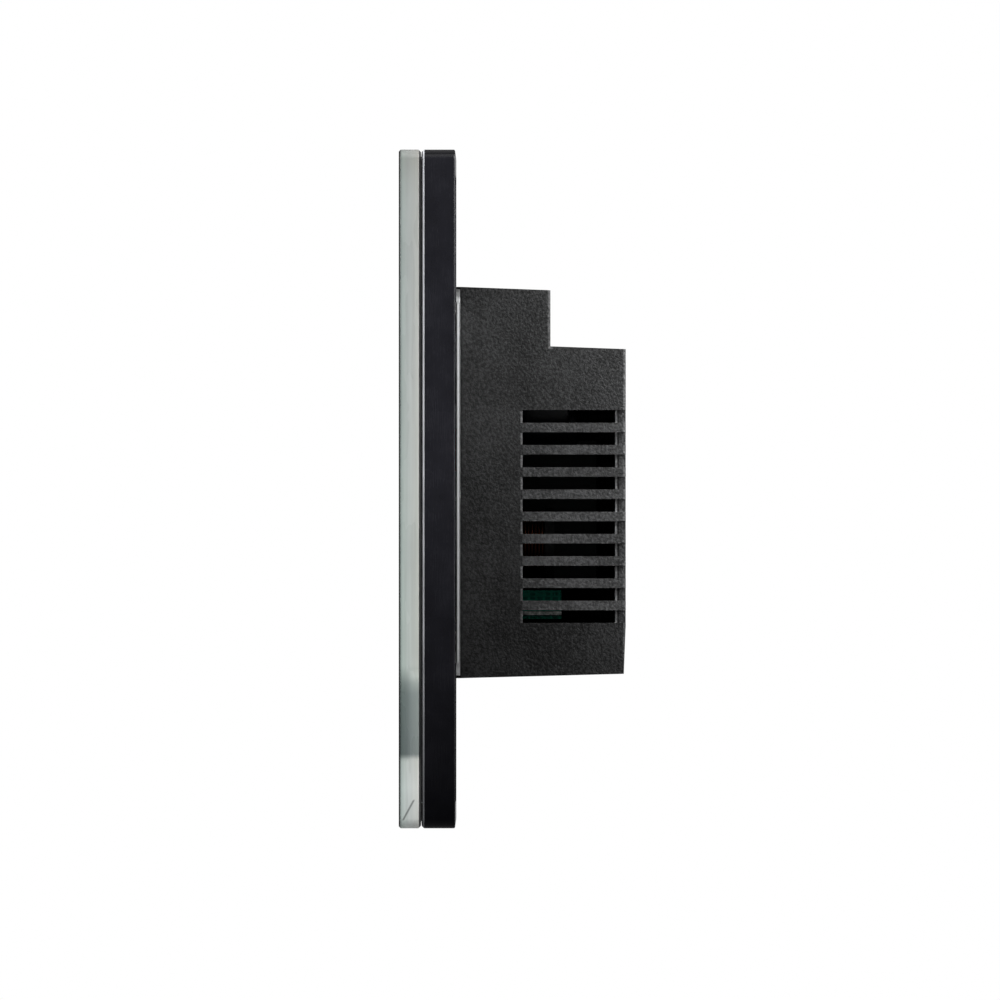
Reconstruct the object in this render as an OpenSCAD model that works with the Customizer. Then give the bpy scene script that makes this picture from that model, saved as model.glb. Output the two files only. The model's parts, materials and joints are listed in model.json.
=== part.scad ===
// Flush-mounted alarm keypad panel: a glass touch front that pulls off a moulded back box.
// The origin is the middle of the two wall-screw slots, on the mounting plate's front face.
// +X is right, +Y goes into the wall and +Z is up, so the glass faces -Y. Lengths are millimetres.

/* [Front panel] */
// Side of the square glass front
panel_size = 86; // [84:1:90]
// Corner radius of the glass and of the frame behind it
panel_corner_r = 1.2; // [1:0.1:4]
// Thickness of the glass
glass_t = 2.8; // [2.4:0.1:3.2]
// Depth of the moulded frame behind the glass
frame_depth = 4.25; // [4.25:0.05:4.6]
// Bevel on each edge of the seam between glass and frame
seam_bevel = 0.3; // [0.2:0.05:0.4]

/* [Keypad] */
// Distance between key columns
key_pitch_x = 22; // [18:1:24]
// Distance between key rows
key_pitch_z = 15; // [13:0.5:15]
// Height of the middle of the key grid above the middle of the panel
key_grid_z = -5; // [-6:0.5:-4]
// Radius of the milky disc that lights each key
key_light_r = 4.2; // [3:0.1:5]

/* [Mounting plate] */
// Width of the steel plate
plate_w = 72; // [70:1:76]
// Thickness of the steel plate
plate_t = 0.5; // [0.4:0.1:0.6]
// Distance between the two wall screws
wall_screw_pitch = 60; // [59:0.5:61]
// Width of a wall-screw slot
wall_slot_w = 4.4; // [3.8:0.1:4.6]
// Length of a wall-screw slot, end to end
wall_slot_len = 8; // [6:0.5:9]

/* [Back box] */
// Width of the box at its open front
box_w = 50; // [49:0.5:51]
// Height of the box's top edge at its open front
box_top = 25.75; // [25.25:0.05:26]
// Height of the box's bottom edge at its open front
box_bottom = -24.1; // [-24.4:0.1:-23.8]
// Depth of the rear wall's outer face
box_depth = 21.6; // [21.4:0.1:23]
// Depth of the shallow terminal step
step_depth = 12; // [12:0.1:12.4]
// Height at which the terminal step begins
step_z = 18.18; // [17.8:0.01:18.2]
// Thickness of the walls
box_wall = 1.4; // [1.2:0.05:1.5]

/* [Vents] */
// Number of vent slots in each side
vent_count = 10; // [6:1:10]
// Distance from one slot to the next
vent_pitch = 2.834; // [2.6:0.002:2.84]
// Height of a slot
vent_h = 1.63; // [1.2:0.01:1.7]
// Top edge of the highest slot
vent_top = 10.07; // [9:0.01:10.5]
// Depth at which the slots begin
vent_front = 8.45; // [8:0.05:10]
// How far the slots run round the corner into the rear wall
vent_wrap = 3; // [1:0.5:3]

/* [Terminals] */
// Number of screw terminals
terminal_count = 6; // [4:1:6]
// Distance between terminals
terminal_pitch = 5; // [5:0.02:5.08]
// Bore of the thread in a clamp cage
clamp_bore_r = 1.25; // [1.25:0.01:1.27]

/* [Hidden] */
$fn = 64;
eps = 0.01;
overshoot = 1;
running_gap = 0.05;

fixed_nodes = [
    "glass_panel", "ink_mask", "glass_adhesive", "key_light_guides", "status_light_guide",
    "touch_board", "key_leds", "status_leds", "touch_controller", "touch_passives", "buzzer",
    "pin_header_body", "header_pins", "front_frame", "front_clips",
    "mounting_plate", "plate_screws", "insulation_sheet", "back_housing", "rating_label",
    "main_board", "board_screws", "board_socket", "relay", "inductor", "filter_capacitors",
    "voltage_regulator", "microcontroller", "main_passives",
    "antenna_board", "antenna_solder_strip", "antenna_header",
    "tamper_switch_body", "tamper_plunger", "reset_switch_body", "reset_button",
    "dip_switch_body", "terminal_body", "terminal_contacts"
];
dip_count = 4;

// Colours
glass_green = "#aab4b0";
ink_black = "#0b0c0d";
frame_black = "#1b1b1e";
box_black = "#2f3030";
steel = "#b9babb";
zinc = "#8d8f92";
board_green = "#1d5a43";
chip_black = "#191a1c";
milky = "#e9ecee";
brass = "#c2a14a";
terminal_green = "#3f7a4b";
switch_red = "#9c2a26";
foil_white = "#d9dad6";

// Layers of the front panel, by depth, from the wall outwards
panel_half = panel_size / 2;
frame_rear = -0.1;
frame_front = frame_rear - frame_depth;
ink_t = 0.1;
glass_rear = frame_front - ink_t;
glass_front = glass_rear - glass_t;
glass_front_bevel = 0.25;
frame_rear_bevel = 0.12;
adhesive_t = 0.3;
adhesive_rear = frame_front + adhesive_t;
touch_board_t = 1.2;
touch_rear = adhesive_rear + touch_board_t;
web_front = touch_rear + 1.25;
web_rear = -0.5;
ink_half = panel_half - 0.9;
adhesive_half = panel_half - 1.9;
touch_half = panel_half - 3;
pocket_gap = 0.15;
ledge_half = panel_half - 4;
recess_half = panel_half - 2.5;
web_window = [34, 24];
web_window_r = 1.5;
frame_rib_h = 0.22;
frame_rib_w = 0.8;
frame_rib_start = 28;

// Keys and status lights
key_xs = [for (c = [-1:1]) c * key_pitch_x];
key_zs = [for (r = [1.5:-1:-1.5]) key_grid_z + r * key_pitch_z];
key_led_hole_r = 0.9;
key_led = [2.6, 0.6, 1.8];
status_z = 33.5;
status_light = [16, 2.4];
status_xs = [-5, 0, 5];

// Parts on the rear of the touch board: [x, z] places and [x, y, z] sizes
controller_at = [0, -4.5];
controller = [7, 1.2, 7];
buzzer_at = [-11, -3.5];
buzzer_size = [8.5, 1.9, 8.5];
touch_passive = [1.0, 0.5, 0.5];
touch_passive_places = concat(
    [for (x = [-26:4:26]) [x, 26]],
    [for (x = [-34, 34], z = [-24:8:24]) [x, z]]
);

// Pin header between the two boards
header_at = [0, -9.4];
header_pins_n = 8;
header_pitch = 2;
header_pin = 0.5;
header_body = [header_pins_n * header_pitch, 2.0, 2.2];
header_pin_tip = 2.9;
socket_front = -0.7;
socket_hole = 0.7;
socket_size = [header_body[0] + 0.4, 2.6];
header_xs = [for (i = [0:header_pins_n - 1]) header_at[0] + (i - (header_pins_n - 1) / 2) * header_pitch];

// Snap clips
clip_x = 21.4;
clip_z = 13;
clip_t = 1.2;
clip_w = 4;
clip_base = [3, 5.6];
clip_barb = 0.65;
clip_tip = 2.8;
clip_gap = 0.05;
clip_slot_h = 5;

// Mounting plate
plate_inset = 0.4;
plate_top = box_top - plate_inset;
plate_bottom = box_bottom + plate_inset;
plate_corner_r = 2;
wall_screw_xs = [-wall_screw_pitch / 2, wall_screw_pitch / 2];
wall_head_window = [13, 12];
pillar_r = 2.2;
pillar_places = [
    [-21.3, 21.9], [21.3, 21.9], [-21.3, -20.3], [21.3, -20.3]
];
plate_screw_shank_r = 0.95;
plate_screw_head_r = 1.9;
plate_screw_head_h = 1.1;
plate_screw_len = 6;
plate_hole_r = 1.2;
screw_slot = [0.5, 0.5];

// Back box
box_front = plate_t;
box_half_w = box_w / 2;
side_draft = 1.5;
top_draft = 2.1;
shelf_draft = 2.1;
bottom_draft = 1.5;
rear_wall = 1.35;
inner_depth = box_depth - rear_wall;
rear_taper_z = -17.2;
rear_taper = 0.25;
lip_t = 0.35;
baffle_front = 6.5;
baffle_t = 1;
label_size = [26, 15];
label_at = [0, -3];
label_recess = 0.25;
label_t = 0.15;

// Main board
board_front = 1.4;
board_rear = 3.0;
board_half_w = 22.4;
board_top = 23.4;
board_bottom = -22;
board_notch_r = 2.7;
sheet_front = 0.75;
sheet_t = 0.2;
board_screw_places = [[-19, 9.5], [1, -19.6]];
board_boss_r = 1.9;
board_screw_shank_r = 0.85;
board_screw_head_r = 1.5;
board_screw_head_h = 0.55;
board_screw_len = 5;

// Parts on the rear of the main board
relay_at = [-12.5, -3.2];
relay_size = [15.4, 15.2, 19];
inductor_at = [3.5, -7];
inductor_r = 4.6;
inductor_h = 9.5;
capacitors = [[-1, 9, 4, 12.5], [8, 10.5, 3.15, 11.5]];
regulator_at = [15.5, 6.5];
regulator = [6.5, 2.3, 6];
mcu_at = [11, -15];
mcu = [7, 1.4, 7];
main_passive = [1.6, 0.6, 0.8];
main_passive_places = concat(
    [for (z = [-10:2.5:-2.5]) [16.5, z]],
    [for (x = [3:3:15]) [x, 1]],
    [for (x = [-15:3:-9], z = [8.5, 12]) [x, z]]
);

// Antenna riser board, which stands on the main board
antenna_x = 19.6;
antenna_t = 0.8;
antenna_z = [-16.6, -12.9];
antenna_tip = 13.4;
antenna_strip_z = [-16.1, -15.6];
antenna_strip_t = 0.15;
antenna_strip_front = 8.0;
antenna_header_size = [2.2, 1.6, 3.6];

// Tamper switch: the front frame's web holds its plunger in
tamper_at = [-12, -16];
tamper_size = [6, 3.6, 6];
tamper_rod_r = 1.2;
tamper_tip = -0.45;
tamper_travel = 1;
tamper_collar_r = 1.8;
tamper_collar = [4.7, 5.3];
tamper_cavity_r = 2.0;
tamper_cavity = [3.5, 6.1];

// Reset button and configuration switch, reached with the front panel off
reset_at = [-11, 5];
reset_body = [5.2, 1.3, 5.2];
reset_stem_r = 1.3;
reset_stem = [-0.55, 0.75];
reset_bore_end = 1.1;
dip_at = [10.5, 5];
dip_pitch = 1.27;
dip_body = [6.6, 1.9, 5.4];
dip_slider = [0.7, 1.0, 1.0];
dip_travel = 1.0;
dip_gap = 0.08;
dip_lever_front = -0.95;

// Screw terminals
terminal_xs = [for (i = [0:terminal_count - 1]) (i - (terminal_count - 1) / 2) * terminal_pitch];
terminal_z = 20.6;
terminal_body_z = [16.4, 23.4];
terminal_body_rear = 10.6;
terminal_side = 0.6;
chamber_half_w = 2.0;
chamber_z = [18.2, 23.0];
chamber_y = [3.6, 9.6];
wire_entry_half_w = 1.5;
wire_entry_y = [4.1, 6.8];
clamp_half_w = 1.85;
clamp_half_z = 2.1;
clamp_y = [3.75, 7.95];
clamp_wall = 0.5;
clamp_window_half_w = 1.25;
contact_half_w = 1.0;
contact_y = [6.6, 7.1];
contact_leg_z = [16.9, 17.4];
contact_leg_end = 1.1;
screw_head_r = 1.75;
screw_head_y = [9.7, 11.1];
screw_tip = 7.2;
terminal_slot = [0.6, 0.7];
driver_hole_r = 2.2;
body_driver_hole_r = 1.9;

// ---------- Shapes ----------

// Block between two opposite corners.
module block(low, high) {
    translate(low) cube(high - low);
}

// Block centred on [x, z] that runs from depth y0 to y1.
module slab(at, size, y0, y1) {
    translate([at[0] - size[0] / 2, y0, at[1] - size[1] / 2]) cube([size[0], y1 - y0, size[1]]);
}

// Box-shaped chip of size [x, y, z] standing on depth y0 towards +Y.
module chip_behind(at, size, y0) {
    slab(at, [size[0], size[2]], y0, y0 + size[1]);
}

// Cylinder along Y at [x, z], from depth y0 to y1.
module rod(at, r, y0, y1) {
    translate([at[0], y1, at[1]]) rotate([90, 0, 0]) cylinder(h = y1 - y0, r = r);
}

// Extrudes a shape drawn in X and Z along Y, from depth y0 to y1.
module through(y0, y1) {
    translate([0, y1, 0]) rotate([90, 0, 0]) linear_extrude(height = y1 - y0) children();
}

// Extrudes a shape drawn in Y and Z along X, from x0 to x1.
module across(x0, x1) {
    translate([x0, 0, 0]) rotate([90, 0, 90]) linear_extrude(height = x1 - x0) children();
}

// Rectangle with round corners, centred on the origin.
module rounded_rect(w, h, r) {
    square([w - 2 * r, h], center = true);
    square([w, h - 2 * r], center = true);
    for (x = [-1, 1], z = [-1, 1])
        translate([x * (w / 2 - r), z * (h / 2 - r)]) circle(r = r);
}

// Square plate with round corners and a bevel round its front and rear faces.
module bevelled_plate(half, r, y0, y1, front_bevel, rear_bevel) {
    edge = half - r;
    function section(reach) = [
        [y0, reach - front_bevel], [y0 + front_bevel, reach],
        [y1 - rear_bevel, reach], [y1, reach - rear_bevel]
    ];
    function mirrored(points) = [for (i = [len(points) - 1:-1:0]) [points[i][0], -points[i][1]]];
    strip = concat(section(half), mirrored(section(half)));
    corner = concat([[y0, 0]], section(r), [[y1, 0]]);
    across(-edge, edge) polygon(strip);
    translate([0, 0, -edge]) linear_extrude(height = 2 * edge) polygon([for (p = strip) [p[1], p[0]]]);
    for (x = [-edge, edge], z = [-edge, edge])
        translate([x, 0, z]) rotate([-90, 0, 0]) rotate_extrude() polygon([for (p = corner) [p[1], p[0]]]);
}

// Screwdriver slot across a screw head at [x, z], cut from depth y0 to y1.
module driver_slot(at, width, length, y0, y1) {
    slab(at, [length, width], y0, y1);
}

// ---------- Front panel ----------

module glass_panel() {
    color(glass_green)
        bevelled_plate(panel_half, panel_corner_r, glass_front, glass_rear, glass_front_bevel, seam_bevel);
}

// Black ink printed on the rear of the glass.
module ink_mask() {
    color(ink_black)
        through(glass_rear, frame_front) rounded_rect(2 * ink_half, 2 * ink_half, panel_corner_r / 2);
}

// Adhesive sheet with a window over each light.
module glass_adhesive() {
    color(chip_black) difference() {
        through(frame_front, adhesive_rear)
            rounded_rect(2 * (adhesive_half - pocket_gap), 2 * (adhesive_half - pocket_gap), 1.5);
        for (x = key_xs, z = key_zs)
            rod([x, z], key_light_r, frame_front - overshoot, adhesive_rear + overshoot);
        slab([0, status_z], status_light, frame_front - overshoot, adhesive_rear + overshoot);
    }
}

module key_light_guides() {
    color(milky)
        for (x = key_xs, z = key_zs) rod([x, z], key_light_r - 0.1, frame_front, adhesive_rear);
}

module status_light_guide() {
    color(milky) slab([0, status_z], status_light - [0.2, 0.2], frame_front, adhesive_rear);
}

module touch_board() {
    color(board_green) difference() {
        through(adhesive_rear, touch_rear) rounded_rect(2 * touch_half, 2 * touch_half, 1);
        for (x = key_xs, z = key_zs)
            rod([x, z], key_led_hole_r, adhesive_rear - overshoot, touch_rear + overshoot);
        for (x = status_xs)
            rod([x, status_z], key_led_hole_r, adhesive_rear - overshoot, touch_rear + overshoot);
        for (x = header_xs)
            slab(
                [x, header_at[1]], [header_pin, header_pin],
                adhesive_rear - overshoot, touch_rear + overshoot
            );
    }
}

// Reverse-mounted lamps, which shine through the holes in the touch board.
module key_leds() {
    color(milky)
        for (x = key_xs, z = key_zs) chip_behind([x, z], key_led, touch_rear);
}

module status_leds() {
    color(milky)
        for (x = status_xs) chip_behind([x, status_z], key_led, touch_rear);
}

module touch_controller() {
    color(chip_black) chip_behind(controller_at, controller, touch_rear);
}

module touch_passives() {
    color(zinc) for (at = touch_passive_places) chip_behind(at, touch_passive, touch_rear);
}

module buzzer() {
    sound_hole_r = 0.6;
    sound_hole_depth = 0.5;
    color(chip_black) difference() {
        chip_behind(buzzer_at, buzzer_size, touch_rear);
        rod(
            buzzer_at + [2.2, 2.2], sound_hole_r,
            touch_rear + buzzer_size[1] - sound_hole_depth, touch_rear + buzzer_size[1] + overshoot
        );
    }
}

module pin_header_body() {
    color(chip_black) difference() {
        chip_behind(header_at, header_body, touch_rear);
        for (x = header_xs)
            slab(
                [x, header_at[1]], [header_pin, header_pin],
                touch_rear - overshoot, touch_rear + header_body[1] + overshoot
            );
    }
}

module header_pins() {
    color(brass)
        for (x = header_xs)
            slab([x, header_at[1]], [header_pin, header_pin], adhesive_rear + 0.2, header_pin_tip);
}

// Places of the four snap clips, as [x, z].
clip_places = [for (x = [-clip_x, clip_x], z = [-clip_z, clip_z]) [x, z]];

module front_frame() {
    color(frame_black) difference() {
        union() {
            difference() {
                bevelled_plate(
                    panel_half, panel_corner_r, frame_front, frame_rear, seam_bevel, frame_rear_bevel
                );
                through(frame_front - overshoot, adhesive_rear)
                    rounded_rect(2 * adhesive_half, 2 * adhesive_half, 1.6);
                through(adhesive_rear - overshoot, touch_rear)
                    rounded_rect(2 * (touch_half + pocket_gap), 2 * (touch_half + pocket_gap), 1.1);
                through(touch_rear - overshoot, web_front)
                    rounded_rect(2 * ledge_half, 2 * ledge_half, 1);
                through(web_rear, frame_rear + overshoot)
                    rounded_rect(2 * recess_half, 2 * recess_half, 1);
            }
            frame_ribs();
        }
        through(web_front - overshoot, web_rear + overshoot)
            rounded_rect(web_window[0], web_window[1], web_window_r);
        for (x = wall_screw_xs)
            slab([x, 0], wall_head_window, web_front - overshoot, web_rear + overshoot);
        for (at = pillar_places)
            rod(at, plate_screw_head_r + 0.6, web_front - overshoot, web_rear + overshoot);
        for (at = clip_places) slab(at, clip_base, web_front - overshoot, web_rear + overshoot);
    }
}

// Low stiffening ribs on the rear of the frame's web, clear of the mounting plate.
module frame_ribs() {
    rib_reach = recess_half + eps;
    short_rib = rib_reach - frame_rib_start;
    for (z = [-36, -31, 31, 36])
        slab([0, z], [2 * rib_reach, frame_rib_w], web_rear - eps, web_rear + frame_rib_h);
    for (x = [-24:12:24], side = [-1, 1])
        slab(
            [x, side * (frame_rib_start + short_rib / 2)], [frame_rib_w, short_rib],
            web_rear - eps, web_rear + frame_rib_h
        );
}

// Sprung hooks, which snap behind the mounting plate.
module front_clips() {
    arm_end = clip_x + clip_t / 2;
    hook = [
        [arm_end - clip_t, web_rear - eps], [arm_end, web_rear - eps],
        [arm_end, plate_t + clip_gap], [arm_end + clip_barb, plate_t + clip_gap + 0.1],
        [arm_end, clip_tip - 0.4], [arm_end - 0.5, clip_tip], [arm_end - clip_t, clip_tip]
    ];
    color(frame_black) for (at = clip_places) {
        slab(at, clip_base, web_front, web_rear);
        translate([0, 0, at[1] - clip_w / 2]) linear_extrude(height = clip_w)
            polygon([for (p = hook) [sign(at[0]) * p[0], p[1]]]);
    }
}

// ---------- Mounting plate and back box ----------

module mounting_plate() {
    plate_h = plate_top - plate_bottom;
    color(steel) difference() {
        translate([0, 0, (plate_top + plate_bottom) / 2])
            through(0, plate_t) rounded_rect(plate_w, plate_h, plate_corner_r);
        for (x = wall_screw_xs) wall_slot(x);
        for (at = clip_places) clip_slot(at);
        for (at = pillar_places) rod(at, plate_hole_r, -overshoot, plate_t + overshoot);
        slab(header_at, socket_size + [1.2, 1.2], -overshoot, plate_t + overshoot);
        slab(dip_at, [dip_body[0] + 1.2, dip_body[2] + 1.2], -overshoot, plate_t + overshoot);
        slab(reset_at, [reset_body[0] + 1, reset_body[2] + 1], -overshoot, plate_t + overshoot);
        rod(tamper_at, tamper_rod_r + 0.7, -overshoot, plate_t + overshoot);
    }
}

// Slot for a wall screw, with true half-round ends.
module wall_slot(x) {
    reach = (wall_slot_len - wall_slot_w) / 2;
    slab([x, 0], [2 * reach, wall_slot_w], -overshoot, plate_t + overshoot);
    for (side = [-1, 1])
        rod([x + side * reach, 0], wall_slot_w / 2, -overshoot, plate_t + overshoot);
}

// Slot for a snap clip, with room for the hook to flex inwards.
module clip_slot(at) {
    inner = clip_x - clip_t / 2 - clip_barb - clip_gap;
    outer = clip_x + clip_t / 2 + 2 * clip_gap;
    slab(
        [sign(at[0]) * (inner + outer) / 2, at[1]], [outer - inner, clip_slot_h],
        -overshoot, plate_t + overshoot
    );
}

// Pan-head screws through the plate into the box's corner pillars.
module plate_screws() {
    color(zinc) for (at = pillar_places) difference() {
        union() {
            rod(at, plate_screw_head_r, -plate_screw_head_h, 0);
            rod(at, plate_screw_shank_r, -eps, plate_screw_len);
        }
        cross_recess(at, plate_screw_head_r * 1.2, -plate_screw_head_h);
    }
}

// Cross recess in a screw head whose outer face is at depth y.
module cross_recess(at, length, y) {
    driver_slot(at, screw_slot[0], length, y - overshoot, y + screw_slot[1]);
    slab(at, [screw_slot[0], length], y - overshoot, y + screw_slot[1]);
}

module insulation_sheet() {
    color(foil_white) difference() {
        board_outline(sheet_front, sheet_front + sheet_t, 0.4);
        slab(header_at, socket_size + [1, 1], 0, board_front);
        slab(dip_at, [dip_body[0] + 0.8, dip_body[2] + 0.8], 0, board_front);
        slab(reset_at, [reset_body[0] + 0.8, reset_body[2] + 0.8], 0, board_front);
        rod(tamper_at, tamper_rod_r + 0.6, 0, board_front);
        for (at = board_screw_places) rod(at, board_screw_head_r + 0.3, 0, board_front);
    }
}

// Outer faces of the box at depth y: height of the top wall, the shelf and the bottom, and half the width.
function top_at(y) = box_top - (y - box_front) * tan(top_draft);
function shelf_at(y) = step_z - (y - step_depth) * tan(shelf_draft);
function bottom_at(y) = box_bottom + (y - box_front) * tan(bottom_draft);
function half_w_at(y) = box_half_w - (y - box_front) * tan(side_draft);

// The box's outer form, shrunk by inset on every side but its open front.
module box_form(inset, rear_inset) {
    front = inset > 0 ? box_front - overshoot : box_front;
    step = step_depth - (inset > 0 ? rear_wall : 0);
    rear = box_depth - rear_inset;
    profile = [
        [front, top_at(front) - inset], [step, top_at(step) - inset], [step, shelf_at(step) - inset],
        [rear, shelf_at(rear) - inset], [rear, rear_taper_z],
        [rear - rear_taper, bottom_at(rear) + inset], [front, bottom_at(front) + inset]
    ];
    plan = [
        [-half_w_at(front) + inset, front], [half_w_at(front) - inset, front],
        [half_w_at(rear) - inset, rear], [-half_w_at(rear) + inset, rear]
    ];
    intersection() {
        across(-box_w, box_w) polygon(profile);
        translate([0, 0, box_bottom - 10]) linear_extrude(height = box_top - box_bottom + 20) polygon(plan);
    }
}

// Distance from the middle plane at which the slots end in the rear wall.
function vent_inner_x() = half_w_at(box_depth) - vent_wrap;

module vent_slots() {
    for (i = [0:vent_count - 1], side = [-1, 1]) {
        top = vent_top - i * vent_pitch;
        inner = side * vent_inner_x();
        outer = side * (box_half_w + overshoot);
        block([min(inner, outer), vent_front, top - vent_h], [max(inner, outer), box_depth + overshoot, top]);
    }
}

// Wall between the two left pillars, behind the left vents, which keeps fingers and light off the relay.
module vent_baffle() {
    outer = -vent_inner_x();
    block(
        [outer, baffle_front, pillar_places[2][1]],
        [outer + baffle_t, inner_depth + eps, pillar_places[0][1]]
    );
}

// Thin lips that cover the mounting plate's top and bottom edges.
module plate_lips() {
    half_w = box_half_w - lip_t;
    block([-half_w, 0, box_top - lip_t], [half_w, box_front + eps, box_top]);
    block([-half_w, 0, box_bottom], [half_w, box_front + eps, box_bottom + lip_t]);
}

module back_housing() {
    color(box_black) difference() {
        union() {
            difference() {
                box_form(0, 0);
                box_form(box_wall, rear_wall);
            }
            intersection() {
                box_form(0, 0);
                union() {
                    for (at = pillar_places) rod(at, pillar_r, box_front, inner_depth + eps);
                    for (at = board_screw_places) rod(at, board_boss_r, board_rear, inner_depth + eps);
                    vent_baffle();
                }
            }
            plate_lips();
        }
        vent_slots();
        for (at = pillar_places) rod(at, plate_screw_shank_r, box_front - overshoot, plate_screw_len + 0.5);
        for (at = board_screw_places)
            rod(at, board_screw_shank_r, board_rear - overshoot, board_front + board_screw_len + 0.5);
        for (x = terminal_xs) {
            rod([x, terminal_z], driver_hole_r, step_depth - rear_wall - 0.5, step_depth + overshoot);
            block(
                [x - wire_entry_half_w, wire_entry_y[0], terminal_body_z[1]],
                [x + wire_entry_half_w, wire_entry_y[1], box_top + overshoot]
            );
        }
        slab(label_at, label_size, box_depth - label_recess, box_depth + overshoot);
    }
}

// Blank label in the recess on the rear wall.
module rating_label() {
    color(foil_white)
        slab(label_at, label_size - [0.4, 0.4], box_depth - label_recess, box_depth - label_recess + label_t);
}

// ---------- Main board ----------

// The main board's outline with its notches, from depth y0 to y1, shrunk by inset.
module board_outline(y0, y1, inset) {
    difference() {
        block(
            [-board_half_w + inset, y0, board_bottom + inset],
            [board_half_w - inset, y1, board_top - inset]
        );
        for (at = pillar_places) rod(at, board_notch_r + inset, y0 - overshoot, y1 + overshoot);
        for (at = pillar_places)
            slab(
                [at[0] + sign(at[0]) * 2, at[1] + sign(at[1]) * 2], [4 + 2 * inset, 4 + 2 * inset],
                y0 - overshoot, y1 + overshoot
            );
        for (at = clip_places)
            slab(
                [at[0] + sign(at[0]) * 1.4, at[1]], [5 + inset, clip_w + 2 + inset],
                y0 - overshoot, y1 + overshoot
            );
    }
}

module main_board() {
    color(board_green) difference() {
        board_outline(board_front, board_rear, 0);
        for (x = header_xs)
            slab(
                [x, header_at[1]], [socket_hole, socket_hole],
                board_front - overshoot, board_rear + overshoot
            );
        for (x = terminal_xs)
            slab(
                [x, (contact_leg_z[0] + contact_leg_z[1]) / 2],
                [2 * contact_half_w + 0.1, contact_leg_z[1] - contact_leg_z[0] + 0.1],
                board_front - overshoot, board_rear + overshoot
            );
        for (at = board_screw_places)
            rod(at, board_screw_shank_r + 0.15, board_front - overshoot, board_rear + overshoot);
        rod(tamper_at, tamper_rod_r + 0.4, board_front - overshoot, board_rear + overshoot);
    }
}

module board_screws() {
    color(zinc) for (at = board_screw_places) difference() {
        union() {
            rod(at, board_screw_head_r, board_front - board_screw_head_h, board_front);
            rod(at, board_screw_shank_r, board_front - eps, board_front + board_screw_len);
        }
        driver_slot(
            at, screw_slot[0], board_screw_head_r * 1.2,
            board_front - board_screw_head_h - overshoot, board_front - board_screw_head_h + 0.3
        );
    }
}

module board_socket() {
    color(chip_black) difference() {
        slab(header_at, socket_size, socket_front, board_front);
        for (x = header_xs)
            slab(
                [x, header_at[1]], [socket_hole, socket_hole],
                socket_front - overshoot, board_front + overshoot
            );
    }
}

module relay() {
    color(chip_black) chip_behind(relay_at, relay_size, board_rear);
}

module inductor() {
    flange = 1.2;
    waist = inductor_r - 0.7;
    color(chip_black) {
        rod(inductor_at, inductor_r, board_rear, board_rear + flange);
        rod(inductor_at, waist, board_rear + flange - eps, board_rear + inductor_h - flange + eps);
        rod(inductor_at, inductor_r, board_rear + inductor_h - flange, board_rear + inductor_h);
    }
}

module filter_capacitors() {
    color(chip_black) for (c = capacitors) rod([c[0], c[1]], c[2], board_rear, board_rear + c[3]);
}

module voltage_regulator() {
    color(chip_black) chip_behind(regulator_at, regulator, board_rear);
}

module microcontroller() {
    color(chip_black) chip_behind(mcu_at, mcu, board_rear);
}

module main_passives() {
    color(zinc) for (at = main_passive_places) chip_behind(at, main_passive, board_rear);
}

module antenna_board() {
    color(board_green)
        block([antenna_x - antenna_t, board_rear, antenna_z[0]], [antenna_x, antenna_tip, antenna_z[1]]);
}

// Tinned strip along the lower part of the riser board.
module antenna_solder_strip() {
    color(steel)
        block(
            [antenna_x, antenna_strip_front, antenna_strip_z[0]],
            [antenna_x + antenna_strip_t, antenna_tip, antenna_strip_z[1]]
        );
}

module antenna_header() {
    middle_z = (antenna_z[0] + antenna_z[1]) / 2;
    color(chip_black)
        chip_behind(
            [antenna_x - antenna_t - antenna_header_size[0] / 2, middle_z], antenna_header_size, board_rear
        );
}

// ---------- Switches ----------

module tamper_switch_body() {
    color(chip_black) difference() {
        chip_behind(tamper_at, tamper_size, board_rear);
        rod(tamper_at, tamper_rod_r + running_gap, board_rear - overshoot, tamper_cavity[0] + eps);
        rod(tamper_at, tamper_cavity_r, tamper_cavity[0], tamper_cavity[1]);
    }
}

module tamper_plunger() {
    color(foil_white) {
        rod(tamper_at, tamper_rod_r, tamper_tip, tamper_collar[1]);
        rod(tamper_at, tamper_collar_r, tamper_collar[0], tamper_collar[1]);
    }
}

module reset_switch_body() {
    color(zinc) difference() {
        slab(reset_at, [reset_body[0], reset_body[2]], board_front - reset_body[1], board_front);
        rod(reset_at, reset_stem_r + running_gap, board_front - reset_body[1] - overshoot, reset_bore_end);
    }
}

module reset_button() {
    color(chip_black) rod(reset_at, reset_stem_r, reset_stem[0], reset_stem[1]);
}

dip_xs = [for (i = [0:dip_count - 1]) dip_at[0] + (i - (dip_count - 1) / 2) * dip_pitch];
dip_front = board_front - dip_body[1];
dip_lever_z = dip_at[1] - dip_travel / 2;

module dip_switch_body() {
    slot_h = dip_slider[2] + dip_travel + 2 * dip_gap;
    color(switch_red) difference() {
        slab(dip_at, [dip_body[0], dip_body[2]], dip_front, board_front);
        for (x = dip_xs)
            slab(
                [x, dip_at[1]], [dip_slider[0] + 2 * dip_gap, slot_h],
                dip_front - overshoot, dip_lever_front + dip_slider[1] + dip_gap
            );
    }
}

module dip_slider(i) {
    color(milky)
        slab(
            [dip_xs[i - 1], dip_lever_z], [dip_slider[0], dip_slider[2]],
            dip_lever_front, dip_lever_front + dip_slider[1]
        );
}

// ---------- Screw terminals ----------

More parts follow.
